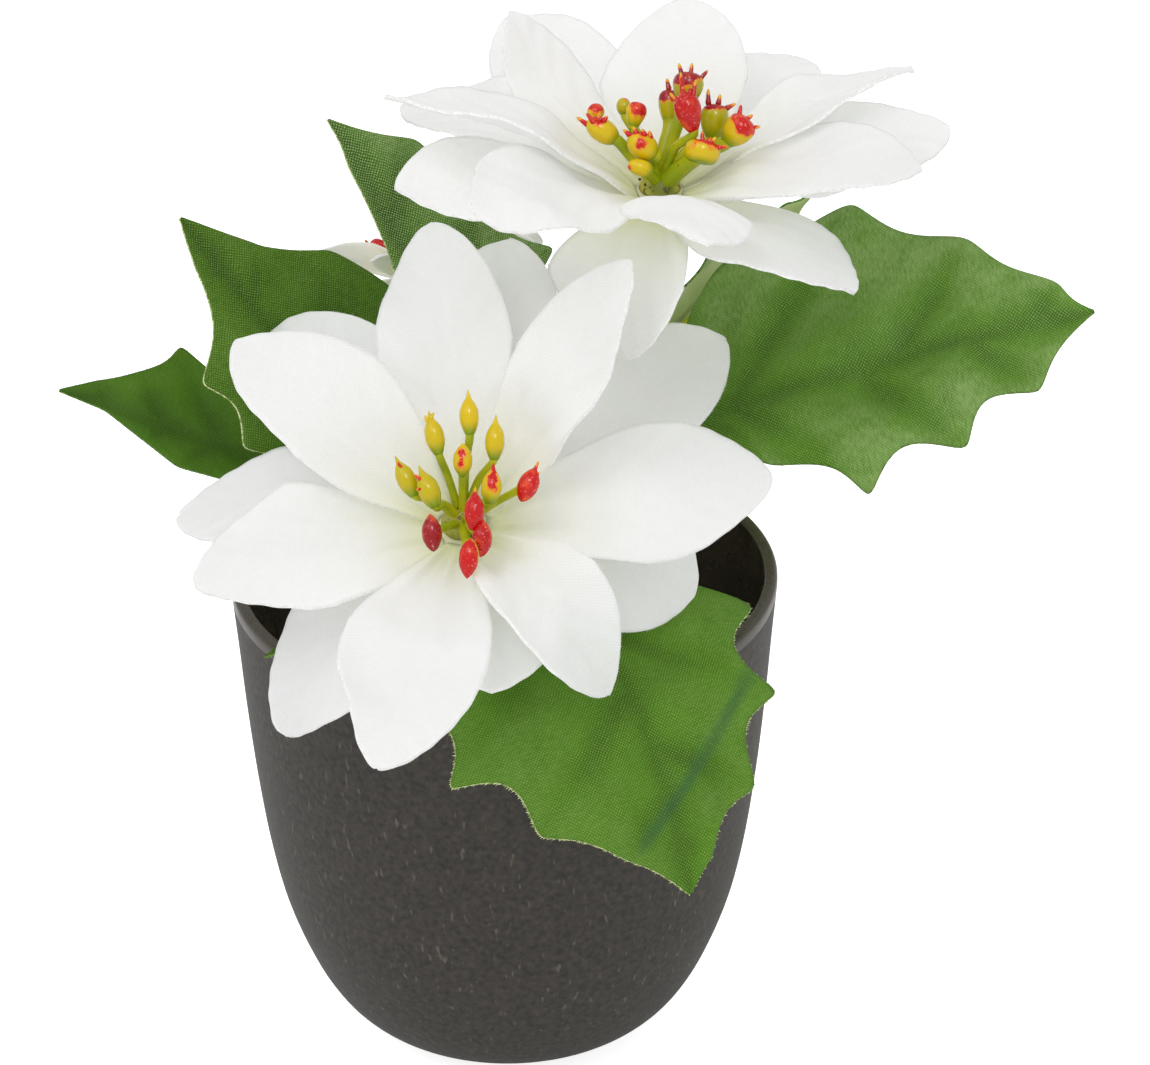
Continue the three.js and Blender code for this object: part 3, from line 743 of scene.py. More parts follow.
@dataclass(frozen=True)
class ThreadEnds(Finish):
    """Raw cut thread ends: undyed inside, so they show pale and dotted against the print."""

    pale: str = "#DCE3B0"
    dark: str = "#8FA65C"
    spot_size: float = 0.4545

    def dress(self, tree: bpy.types.NodeTree, shader: bpy.types.Node) -> None:
        """Adds the spotted change from thread to thread.

        Args:
            tree: the material's node tree.
            shader: its Principled BSDF.
        """
        place = add(tree, "ShaderNodeTexCoord").outputs["Object"]
        spots = add(tree, "ShaderNodeTexNoise", {"Vector": place, "Scale": cells(self.spot_size)})
        sharp = add(tree, "ShaderNodeMapRange", {0: spots.outputs[0], 1: 0.42, 2: 0.55})
        mixed = add(tree, "ShaderNodeMix", {0: sharp.outputs[0], 6: colour(self.dark), 7: colour(self.pale)},
                    data_type="RGBA")
        feed(tree, shader, {"Base Color": mixed.outputs[2], "Specular IOR Level": 0.2})


@dataclass(frozen=True)
class Moulding(Finish):
    """Polyethylene, moulded and dyed through: waxy and slightly see-through, with a few dark specks."""

    green: str = "#98A80A"
    yellow: str = "#C8C212"
    speck: str = "#3E2E12"
    specked: float = 0.72
    streak_size: float = 3.846
    speck_size: float = 0.6667
    glow_depth: float = 0.5

    def dress(self, tree: bpy.types.NodeTree, shader: bpy.types.Node) -> None:
        """Adds the streaky dye and the specks.

        Args:
            tree: the material's node tree.
            shader: its Principled BSDF.
        """
        place = add(tree, "ShaderNodeTexCoord").outputs["Object"]
        streaks = add(tree, "ShaderNodeTexNoise",
                      {"Vector": place, "Scale": cells(self.streak_size), "Detail": 3.0})
        spread = add(tree, "ShaderNodeMapRange", {0: streaks.outputs[0], 1: 0.35, 2: 0.68})
        body = add(tree, "ShaderNodeMix",
                   {0: spread.outputs[0], 6: colour(self.green), 7: colour(self.yellow)}, data_type="RGBA")
        specks = add(tree, "ShaderNodeTexNoise", {"Vector": place, "Scale": cells(self.speck_size)})
        rare = add(tree, "ShaderNodeMapRange",
                   {0: specks.outputs[0], 1: self.specked, 2: self.specked + 0.04, 3: 0.0, 4: 0.7})
        spotted = add(tree, "ShaderNodeMix", {0: rare.outputs[0], 6: body.outputs[2], 7: colour(self.speck)},
                      data_type="RGBA")
        feed(tree, shader, {
            "Base Color": spotted.outputs[2], "Subsurface Weight": 0.25,
            "Subsurface Radius": (0.9, 1.0, 0.3), "Subsurface Scale": self.glow_depth * MM,
        })


@dataclass(frozen=True)
class BudPaint(Finish):
    """Moulded buds, yellow and greener at the stalk, under red enamel brushed on by hand: glossy, ragged,
    with painted glints.
    """

    green: str = "#7C9A12"
    yellow: str = "#DDBE0A"
    rim: str = "#F08628"
    red: str = "#CE100E"
    wine: str = "#8A1024"
    worn: str = "#F0602A"
    glint: str = "#F6B9A4"
    ragged_size: float = 0.909
    brush_size: float = 1.4286
    glint_size: float = 0.2381
    paint_height: float = 0.12
    glow_depth: float = 0.4

    def dress(self, tree: bpy.types.NodeTree, shader: bpy.types.Node) -> None:
        """Adds the yellow's change to green, the brushed red and the painted glints on it.

        Args:
            tree: the material's node tree.
            shader: its Principled BSDF.
        """
        place = add(tree, "ShaderNodeTexCoord").outputs["Object"]
        ripe = add(tree, "ShaderNodeAttribute", attribute_name="ripe")
        body = add(tree, "ShaderNodeMix",
                   {0: ripe.outputs["Fac"], 6: colour(self.green), 7: colour(self.yellow)}, data_type="RGBA")
        ragged = add(tree, "ShaderNodeTexNoise",
                     {"Vector": place, "Scale": cells(self.ragged_size), "Detail": 2.0})
        shift = add(tree, "ShaderNodeMath", {0: ragged.outputs[0], 1: 1.2, 2: -0.6}, operation="MULTIPLY_ADD")
        paint = add(tree, "ShaderNodeAttribute", attribute_name="paint")
        level = add(tree, "ShaderNodeMath", {0: paint.outputs["Fac"], 1: shift.outputs[0]}, operation="ADD")
        edge = add(tree, "ShaderNodeMapRange", {0: level.outputs[0], 1: -0.2, 2: -0.06, 3: 0.0, 4: 0.85})
        rimmed = add(tree, "ShaderNodeMix", {0: edge.outputs[0], 6: body.outputs[2], 7: colour(self.rim)},
                     data_type="RGBA")
        wine = add(tree, "ShaderNodeAttribute", attribute_name="wine")
        enamel = add(tree, "ShaderNodeMix",
                     {0: wine.outputs["Fac"], 6: colour(self.red), 7: colour(self.wine)}, data_type="RGBA")
        cover = add(tree, "ShaderNodeMapRange", {0: level.outputs[0], 1: 0.0, 2: 0.1})
        # Painted highlights: sparse pale specks in the red stand in for glints of light on the glossy enamel.
        glint_noise = add(tree, "ShaderNodeTexNoise",
                   {"Vector": place, "Scale": cells(self.glint_size), "Detail": 1.0})
        specks = add(tree, "ShaderNodeMapRange", {0: glint_noise.outputs[0], 1: 0.69, 2: 0.74, 3: 0.0, 4: 0.8})
        streaky = add(tree, "ShaderNodeTexNoise",
                      {"Vector": place, "Scale": cells(self.brush_size), "Detail": 3.0})
        thin = add(tree, "ShaderNodeMapRange", {0: streaky.outputs[0], 1: 0.52, 2: 0.7, 3: 0.0, 4: 0.7})
        brushed = add(tree, "ShaderNodeMix", {0: thin.outputs[0], 6: enamel.outputs[2], 7: colour(self.worn)},
                      data_type="RGBA")
        with_painted_glints = add(tree, "ShaderNodeMix",
                     {0: specks.outputs[0], 6: brushed.outputs[2], 7: colour(self.glint)}, data_type="RGBA")
        painted = add(tree, "ShaderNodeMix",
                      {0: cover.outputs[0], 6: rimmed.outputs[2], 7: with_painted_glints.outputs[2]}, data_type="RGBA")
        bump = add(tree, "ShaderNodeBump",
                   {"Strength": 0.5, "Distance": self.paint_height * MM, "Height": ragged.outputs[0]})
        feed(tree, shader, {
            "Base Color": painted.outputs[2], "Normal": bump.outputs[0], "Subsurface Weight": 0.15,
            "Subsurface Radius": (1.0, 0.7, 0.2), "Subsurface Scale": self.glow_depth * MM,
        })


@dataclass(frozen=True)
class PotShell(Finish):
    """Filled polypropylene, moulded matt: dark grey and mottled, with pale upright flecks of its filler."""

    dark: str = "#201D19"
    light: str = "#3E3830"
    fleck: str = "#6A6358"
    mottle_size: float = 0.7692
    fleck_width: float = 0.6667
    fleck_height: float = 2.174
    grain_height: float = 0.05

    def dress(self, tree: bpy.types.NodeTree, shader: bpy.types.Node) -> None:
        """Adds the mottling and the flecks.

        Args:
            tree: the material's node tree.
            shader: its Principled BSDF.
        """
        place = add(tree, "ShaderNodeTexCoord").outputs["Object"]
        mottle = add(tree, "ShaderNodeTexNoise",
                     {"Vector": place, "Scale": cells(self.mottle_size), "Detail": 3.0})
        grainy = add(tree, "ShaderNodeMapRange", {0: mottle.outputs[0], 1: 0.3, 2: 0.7})
        body = add(tree, "ShaderNodeMix", {0: grainy.outputs[0], 6: colour(self.dark), 7: colour(self.light)},
                   data_type="RGBA")
        drawn_out = (cells(self.fleck_width), cells(self.fleck_width), cells(self.fleck_height))
        tall = add(tree, "ShaderNodeMapping", {"Vector": place, "Scale": drawn_out})
        flecks = add(tree, "ShaderNodeTexNoise", {"Vector": tall.outputs[0], "Scale": 1.0, "Detail": 1.0})
        rare = add(tree, "ShaderNodeMapRange", {0: flecks.outputs[0], 1: 0.66, 2: 0.78, 3: 0.0, 4: 0.6})
        flecked = add(tree, "ShaderNodeMix", {0: rare.outputs[0], 6: body.outputs[2], 7: colour(self.fleck)},
                      data_type="RGBA")
        bump = add(tree, "ShaderNodeBump",
                   {"Strength": 0.3, "Distance": self.grain_height * MM, "Height": mottle.outputs[0]})
        feed(tree, shader, {"Base Color": flecked.outputs[2], "Normal": bump.outputs[0]})


@dataclass(frozen=True)
class PotInside(Finish):
    """The same plastic where it ran against the mould's polished core: dark brown and glossy, lighter than
    the outside as painted light on the shaded inside and the lip.
    """

    # Both browns are lighter than the outside's colours, as painted light for the shaded inside and the lip.
    dark: str = "#3A352D"
    light: str = "#4C453A"
    cloud_size: float = 5.556

    def dress(self, tree: bpy.types.NodeTree, shader: bpy.types.Node) -> None:
        """Adds a faint cloudiness to the colour and the gloss.

        Args:
            tree: the material's node tree.
            shader: its Principled BSDF.
        """
        place = add(tree, "ShaderNodeTexCoord").outputs["Object"]
        cloudy = add(tree, "ShaderNodeTexNoise",
                     {"Vector": place, "Scale": cells(self.cloud_size), "Detail": 3.0})
        body = add(tree, "ShaderNodeMix", {0: cloudy.outputs[0], 6: colour(self.dark), 7: colour(self.light)},
                   data_type="RGBA")
        dull = add(tree, "ShaderNodeMapRange", {0: cloudy.outputs[0], 1: 0.3, 2: 0.7, 3: 0.2, 4: 0.34})
        feed(tree, shader, {"Base Color": body.outputs[2], "Roughness": dull.outputs[0]})


@dataclass(frozen=True)
class PlugCement(Finish):
    """Cement poured as a weight and stained dark: dull, with grains of sand."""

    dark: str = "#1A1714"
    grain: str = "#3A352E"
    grain_size: float = 0.7692
    grain_height: float = 0.2

    def dress(self, tree: bpy.types.NodeTree, shader: bpy.types.Node) -> None:
        """Adds the grains.

        Args:
            tree: the material's node tree.
            shader: its Principled BSDF.
        """
        place = add(tree, "ShaderNodeTexCoord").outputs["Object"]
        sand = add(tree, "ShaderNodeTexVoronoi", {"Vector": place, "Scale": cells(self.grain_size)})
        grains = add(tree, "ShaderNodeMapRange",
                     {0: sand.outputs["Distance"], 1: 0.2, 2: 0.5, 3: 1.0, 4: 0.0})
        body = add(tree, "ShaderNodeMix", {0: grains.outputs[0], 6: colour(self.dark), 7: colour(self.grain)},
                   data_type="RGBA")
        bump = add(tree, "ShaderNodeBump",
                   {"Strength": 0.8, "Distance": self.grain_height * MM, "Height": grains.outputs[0]})
        feed(tree, shader, {"Base Color": body.outputs[2], "Normal": bump.outputs[0]})


@dataclass(frozen=True)
class StudioPaper(Finish):
    """Matt white background paper, rolled out flat and burnt out to plain white."""

    white: str = "#FFFFFF"
    glow: float = 0.6

    def dress(self, tree: bpy.types.NodeTree, shader: bpy.types.Node) -> None:
        """Adds the plain white, and the glow that only the camera sees.

        Args:
            tree: the material's node tree.
            shader: its Principled BSDF.
        """
        seen = add(tree, "ShaderNodeLightPath").outputs["Is Camera Ray"]
        glow = add(tree, "ShaderNodeMath", {0: seen, 1: self.glow}, operation="MULTIPLY")
        feed(tree, shader, {
            "Base Color": colour(self.white), "Specular IOR Level": 0.1,
            "Emission Color": colour(self.white), "Emission Strength": glow.outputs[0],
        })


PETAL = PetalCloth("white polyester satin", roughness=0.8)
PETAL_CUT = ThreadEnds("white thread ends", roughness=0.9, pale="#F8F8F7", dark="#EDEDEA")
PALE_CUT = ThreadEnds("pale thread ends", roughness=0.85)
GREEN_CUT = ThreadEnds("green thread ends", roughness=0.85, pale="#7C9C52", dark="#4E6E2A")
# Its pale satin colour is a painted highlight on the ridges, and its deep colour holds painted vein shade, as
# on the top.
UNDERSIDE = LeafCloth(
    "green polyester underside", roughness=0.75, deep="#93A866", green="#A9BB79", raised="#C6D3A0",
    worn="#DCE0C8", dots=0.4, wear=0.5,
)
STEM = Moulding("dyed polyethylene", roughness=0.42)
HUB = Moulding("mottled polyethylene", roughness=0.5, green="#76801E", yellow="#C4BA5C", specked=0.58)
SCRAPS = Moulding("scorched flash", roughness=0.4, green="#1C150B", yellow="#4A3A16")
BUD = BudPaint("hand-painted polyethylene", roughness=0.2)


class LeafFinish(Enum):
    """The cloth that a leaf is cut from, as its print and its painted satin sheen show."""

    SATIN = LeafCloth(
        "green polyester satin", roughness=0.5, deep="#33580C", green="#4E7C18", raised="#98BC64",
        worn="#A4BC7C", dots=0.62, wear=0.42,
    )
    FINE = LeafCloth(
        "fine green polyester", roughness=0.6, deep="#345808", green="#4A7814", raised="#8CB44C",
        worn="#7A9E4C", dots=0.62, wear=0.3,
    )
    COARSE = LeafCloth(
        "coarse green polyester", roughness=0.7, deep="#24400A", green="#3E640E", raised="#8CB050",
        worn="#5E8030", dots=0.62, wear=0.3,
    )
    PALE = LeafCloth(
        "worn green polyester", roughness=0.7, deep="#2A4808", green="#456C1A", raised="#B4CC8C",
        worn="#8CA866", dots=0.75, wear=0.45,
    )
    SMOOTH = LeafCloth(
        "smooth green polyester", roughness=0.6, deep="#2E4A08", green="#3E660E", raised="#628A24",
        worn="#648826", dots=0.45, wear=0.35,
    )


@dataclass(frozen=True)
class CutEdge:
    """How a cloth frays where it was cut: the finish of its loose threads, and their sizes in millimetres."""

    finish: ThreadEnds
    spacing: float = 0.26
    length: float = 0.3
    radius: float = 0.06
    spread: float = 0.55


PETAL_EDGE = CutEdge(PETAL_CUT, spacing=0.3, radius=0.035, spread=0.6)
GREEN_EDGE = CutEdge(GREEN_CUT)
FINE_EDGE = CutEdge(GREEN_CUT, radius=0.04)
PALE_EDGE = CutEdge(PALE_CUT)
LOOSE_EDGE = CutEdge(PALE_CUT, length=0.5, radius=0.11)


# ---------------------------------------------------------------- pot and filler


@dataclass
class Pot:
    """The tub: a flat foot, a round bottom, a slightly flared wall and a rounded lip."""

    height: float = 63.5
    rim: float = 34.0
    wall: float = 1.7
    floor: float = 3.5
    sides: int = 160
    outline: tuple[Pair, ...] = (
        (13, 0), (16.4, 1.2), (19.8, 2.9), (22.4, 5.3), (24.6, 8.6), (26.7, 13.2),
        (28.8, 19.4), (30.4, 27), (31.7, 36.5), (32.7, 46.5), (33.4, 55.5), (34, 62.5),
    )
    lip_height: float = 0.9
    lip_outside: float = 0.55
    lip_inside: float = 0.5
    floor_rounding: float = 2.2
    outside: PotShell = PotShell("matt filled polypropylene", roughness=0.55)
    inside: PotInside = PotInside("glossy dark polypropylene")

    def section(self, offset: float, low: float, high: float) -> np.ndarray:
        """Takes a part of the wall's outline.

        Args:
            offset: how far it is set in.
            low: the height that it starts at.
            high: the height that it ends at.

        Returns:
            Rows of radius and height.
        """
        line = smooth_path([(r - offset, z) for r, z in self.outline], 90)
        return line[(line[:, 1] >= low) & (line[:, 1] <= high)]

    def build(self) -> None:
        """Builds the pot, matt outside and glossy from the lip inwards."""
        outer = self.section(0, 0, self.height - self.lip_height)
        angles = np.radians(np.linspace(0, 90, 7))[1:]
        round_out, round_in = self.lip_outside, self.lip_inside
        edge, mouth = self.rim - round_out, self.rim - self.wall + round_in
        lip = [(edge + round_out * math.cos(a), self.height - round_out + round_out * math.sin(a))
               for a in angles]
        lip += [(mouth - round_in * math.sin(a), self.height - round_in + round_in * math.cos(a))
                for a in angles]
        inner = self.section(self.wall, self.floor + 1, self.height - self.lip_height)[::-1]
        foot = [(inner[-1][0] - self.floor_rounding, self.floor), (0, self.floor)]
        profile = [(0, 0), *outer, *lip, *inner, *foot]
        matt = len(outer) - 1
        slots = [0 if band < matt else 1 for band in range(len(profile) - 1)]
        draft = Draft()
        draft.lathe(np.array(profile), self.sides, slots=slots)
        mesh = draft.mesh("pot", [self.outside.material(), self.inside.material()])
        placed("pot_shell", mesh, ["pot"])


@dataclass
class Filler:
    """The weight in the pot that the stems stand in: a plug with a flat top, chamfered at the wall."""

    pot: Pot
    top: float = FILLER_TOP
    bottom: float = 4.2
    clearance: float = 0.3
    sides: int = 96
    rings: int = 36
    cement: PlugCement = PlugCement("dark stained cement", roughness=0.95)

    def build(self) -> None:
        """Builds the plug."""
        wall = self.pot.section(self.pot.wall + self.clearance, self.pot.floor + 1.2, self.top - 0.6)
        radii = np.linspace(wall[-1][0], 0.6, self.rings)
        top = [(radii[0], self.top - 0.5), *((radius, self.top) for radius in radii[1:])]
        foot = [(0, self.bottom), (wall[0][0] - self.pot.floor_rounding, self.bottom)]
        profile = np.array([*foot, *wall, *top, (0, self.top)])
        draft = Draft()
        draft.lathe(profile, self.sides)
        placed("filler_plug", draft.mesh("filler", [self.cement.material()]), ["filler"])


# ---------------------------------------------------------------- leaves


@dataclass
class Leaf:
    """A die-cut fabric leaf, bent over the moulded rib that it is glued to.

    A point on it is named by its distance along the midrib and to the left of it. A spike of its edge is
    (along, out, depth of the scallop before it), the depth as a share of the scallop's chord. Its pose is the
    heading and pitch at its base and the pitch that it gains by its tip, and its form is its roll, all in
    degrees, and its curl across. Its stalk is the share of the way up the stem where it leaves, and a point
    that it bends past.
    """

    name: str
    base: Triple
    pose: Triple
    form: Pair
    length: float
    left: list[Triple]
    right: list[Triple]
    stalk: tuple[float, Triple]
    finish: LeafFinish
    last_scallop: float = 0.12
    puff: float = 0.35
    waves: float = 0.3
    seed: int = 1
    scallop_weight: float = 2.0
    cut: CutEdge = GREEN_EDGE
    crease: tuple[Pair, Pair] | None = None
    columns: int = 45
    samples: int = 18
    rounding: int = 10
    steps: int = 24
    root_width: float = 0.7
    tip_width: float = 0.15
    vein_slant: float = 0.75
    vein_width: float = 0.7
    vein_depth: float = 0.1
    pillow_width: float = 3.6
    valley_width: float = 1.5
    crease_width: float = 0.75

    def forward(self, share: np.ndarray) -> np.ndarray:
        """Works out which way the midrib runs.

        Args:
            share: the share of the way along it.

        Returns:
            Its direction there.
        """
        heading, pitch, droop = self.pose
        turn = math.radians(heading)
        tilt = np.radians(pitch + droop * np.maximum(share, 0) ** 0.9)
        flat = np.cos(tilt)
        return np.stack([flat * math.cos(turn), flat * math.sin(turn), np.sin(tilt)], -1)

    def surface(self, along: np.ndarray, out: np.ndarray) -> tuple[np.ndarray, np.ndarray]:
        """Finds points of the leaf's surface.

        Args:
            along: distances along the midrib.
            out: distances to its left.

        Returns:
            The points, and the directions that stand up from the surface there.
        """
        roll, curl = self.form
        turn, bank = math.radians(self.pose[0]), math.radians(roll)
        share = along / self.length
        point = np.zeros(share.shape + (3,)) + self.base
        for k in range(self.steps):
            point = point + self.forward((k + 0.5) / self.steps * share) * (along / self.steps)[..., None]
        left = np.array([-math.sin(turn), math.cos(turn), 0.0])
        top = np.cross(self.forward(share), left)
        side = left * math.cos(bank) + top * math.sin(bank)
        rise = -left * math.sin(bank) + top * math.cos(bank)
        return point + side * out[..., None] - rise * (curl * out**2)[..., None], rise

    def under(self, along: float) -> np.ndarray:
        """Returns the point under the midrib where the moulded rib runs."""
        point, rise = self.surface(np.array([along]), np.array([0.0]))
        return (point - rise * (PACKED_CLOTH_THICKNESS / 2 + RIB_GAP + RIB_RADIUS))[0]

    def cut_edge(self, spikes: list[Triple]) -> np.ndarray:
        """Draws one side's cut edge from base to tip.

        Args:
            spikes: that side's spikes.

        Returns:
            Rows of along and out.
        """
        corners = [(0.0, self.root_width, 0.0), *spikes, (self.length, self.tip_width, self.last_scallop)]
        t = (1 - np.cos(np.linspace(0, math.pi, self.samples + 1)[1:, None])) / 2
        weight = self.scallop_weight
        edge = [np.array([corners[0][:2]])]
        for (s0, w0, _), (s1, w1, depth) in zip(corners, corners[1:]):
            pull = depth * (1 + weight) / weight
            control = np.array([(s0 + s1) / 2 + pull * (w1 - w0), (w0 + w1) / 2 - pull * (s1 - s0)])
            a, b, c = (1 - t) ** 2, 2 * weight * t * (1 - t), t**2
            edge.append((a * np.array([s0, w0]) + b * control + c * np.array([s1, w1])) / (a + b + c))
        line = np.vstack(edge)
        for _ in range(self.rounding):
            line[1:-1] = (line[:-2] + 2 * line[1:-1] + line[2:]) / 4
        return line

    def relief(
        self, along: np.ndarray, out: np.ndarray, edge_share: np.ndarray
    ) -> tuple[np.ndarray, dict[str, Any]]:
        """Works out the pressed veins, the puffed cloth between them, and where painted vein shade and
        painted satin highlights go.

        Args:
            along: distances along the midrib.
            out: distances to its left.
            edge_share: the share of the way from the midrib to the edge.

        Returns:
            How far each point stands proud, and its marks: how much painted vein shade, painted satin
            highlight and crease it has.
        """
        nearest = np.abs(out)
        for side, spikes in ((1, self.left), (-1, self.right)):
            for s, w, _ in spikes:
                root = s - self.vein_slant * w
                way = unit((s - root, w))
                reach = np.hypot(s - root, w)
                ahead = (along - root) * way[0] + side * out * way[1]
                across = np.abs((along - root) * way[1] - side * out * way[0])
                fan_out = np.maximum(ahead / reach - 0.55, 0) * 9
                across = np.where((side * out > 0) & (ahead > 0), across + fan_out, 99.0)
                nearest = np.minimum(nearest, across)
        vein = np.exp(-((nearest / self.vein_width) ** 2))
        pillow = 1 - np.exp(-((nearest / self.pillow_width) ** 2))
        rng = np.random.default_rng(self.seed)
        ripple = np.zeros_like(along)
        for _ in range(5):
            angle, size, phase = rng.uniform(0, math.tau), rng.uniform(9, 17), rng.uniform(0, math.tau)
            ripple += np.sin(math.tau / size * (along * math.cos(angle) + out * math.sin(angle)) + phase)
        settle = eased(along, 2, 12)
        outward = np.abs(edge_share)
        height = settle * (self.puff * pillow - self.vein_depth * vein + self.waves * ripple / 2.2)
        # The first mark is painted shade along the pressed veins, fading towards the edge; the second is a
        # painted satin highlight on the puffed cloth between them, stronger towards the edge.
        marks = {
            "valley": np.exp(-((nearest / self.valley_width) ** 2)) * (1 - eased(outward, 0.3, 0.8)) * 0.5,
            "painted_sheen_ridge": eased(nearest, 1.0, 4.5) * (0.25 + 0.75 * eased(outward, 0.15, 0.7)),
            "crease": np.zeros_like(along),
        }
        if self.crease:
            (s0, w0), (s1, w1) = self.crease
            way = unit((s1 - s0, w1 - w0))
            ahead = (along - s0) * way[0] + (out - w0) * way[1]
            across = np.abs((along - s0) * way[1] - (out - w0) * way[0])
            beyond = np.maximum(-ahead, 0) + np.maximum(ahead - np.hypot(s1 - s0, w1 - w0), 0)
            marks["crease"] = 0.62 * np.exp(-(((across + beyond * 0.4) / self.crease_width) ** 2))
        return height * (1 - 0.5 * outward**4), marks

    def build(self, fray: FrayTree, carrier: str) -> None:
        """Builds the leaf and its frayed edge.

        Args:
            fray: the tree that makes thread ends.
            carrier: the piece that the leaf is glued to; not used.
        """
        left, right = self.cut_edge(self.left), self.cut_edge(self.right)
        middle = (left[:, 0] + right[:, 0]) / 2 - 0.35 * np.minimum(left[:, 1], right[:, 1])
        middle = np.maximum.accumulate(np.clip(middle, 0, self.length))
        middle = 0.95 * middle + 0.05 * np.linspace(0, self.length, len(middle))
        v = np.linspace(-1, 1, self.columns)
        edge = np.where(v > 0, left[:, None, 0], right[:, None, 0])
        along = middle[:, None] + (edge - middle[:, None]) * np.abs(v)
        out = v * np.where(v > 0, left[:, None, 1], right[:, None, 1])
        grid, _ = self.surface(along, out)
        relief, marks = self.relief(along, out, np.broadcast_to(v, out.shape))
        flat = np.stack([out, along], -1)
        draft = Draft()
        border = draft.blade(grid, flat, relief, CLOTH_THICKNESS, (0, 1, 2), **marks)
        finishes = [self.finish.value.material(), UNDERSIDE.material(), self.cut.finish.material()]
        node = f"leaf_{self.name}"
        sheet = placed(f"{node}_cloth", draft.mesh(node, finishes), [node])
        threads = fray.piece(f"{node}_threads", "leaf", [border], self.cut, self.seed)


# ---------------------------------------------------------------- blooms


@dataclass(frozen=True)
class Petal:
    """One petal of a whorl.

    Its azimuth, its lift at the hub, its droop along its length and its twist are in degrees. Its length and
    width are its bloom's, unless it has its own. Its cup is how far its edges stand above its midrib.
    """

    azimuth: float
    lift: float
    droop: float
    length: float | None = None
    width: float | None = None
    cup: float = 0.8
    twist: float = 0.0


class BudForm(Enum):
    """The outline of a bud, as rows of shares of its half width and of its half length."""

    POINTED = ((0, -1.08), (0.42, -1.04), (0.62, -0.86), (0.95, -0.4), (1, 0), (0.88, 0.36), (0.55, 0.68),
               (0.27, 0.9), (0.13, 1.14), (0, 1.34))
    SPINDLE = ((0, -1.04), (0.3, -0.95), (0.64, -0.72), (0.93, -0.36), (1, 0), (0.92, 0.36), (0.6, 0.72),
               (0.24, 0.96), (0, 1.08))
    ROUND = ((0, -1), (0.38, -0.93), (0.71, -0.71), (0.93, -0.38), (1, 0), (0.93, 0.38), (0.71, 0.71),
             (0.38, 0.93), (0, 1))
    PEAR = ((0, -1.3), (0.4, -1.24), (0.48, -0.98), (0.72, -0.52), (0.94, -0.05), (1, 0.28), (0.88, 0.66),
            (0.58, 0.9), (0.28, 0.98), (0, 1))
    CUP = ((0, -1.1), (0.42, -1.06), (0.52, -0.9), (0.8, -0.5), (0.98, 0), (1, 0.38), (0.88, 0.7), (0.6, 0.9),
           (0.28, 0.97), (0, 0.98))
    FLAME = ((0, -1.12), (0.2, -1.02), (0.5, -0.76), (0.84, -0.3), (1, 0.12), (0.96, 0.48), (0.76, 0.78),
             (0.45, 0.94), (0.2, 1), (0, 1.02))
    BOWL = ((0, -1), (0.5, -0.96), (0.8, -0.76), (0.97, -0.3), (1, 0.15), (0.93, 0.55), (0.7, 0.82),
            (0.35, 0.95), (0, 0.98))


@dataclass(frozen=True)
class Patch:
    """Red enamel about a point to the right, up and out from a bud's middle, drawn out along the bud."""

    at: Triple
    radius: float
    long: float = 1.0


@dataclass(frozen=True)
class Bud:
    """One bud of a cluster.

    Its place and the way it points are to the right, up and out from the bloom's centre. Its size is half its
    width and half its length. A spike runs from a root to a tip, both to the right, up and out from the bud's
    middle. A bud that sits across its stalk meets it at its middle.
    """

    at: Triple
    point: Triple
    size: Pair = (1.16, 2.3)
    form: BudForm = BudForm.POINTED
    patches: tuple[Patch, ...] = ()
    spikes: tuple[tuple[Triple, Triple], ...] = ()
    stalk: float = 0.46
    ripe: float = 1.0
    wine: float = 0.0
    tipped: float = 0.45
    across: bool = False


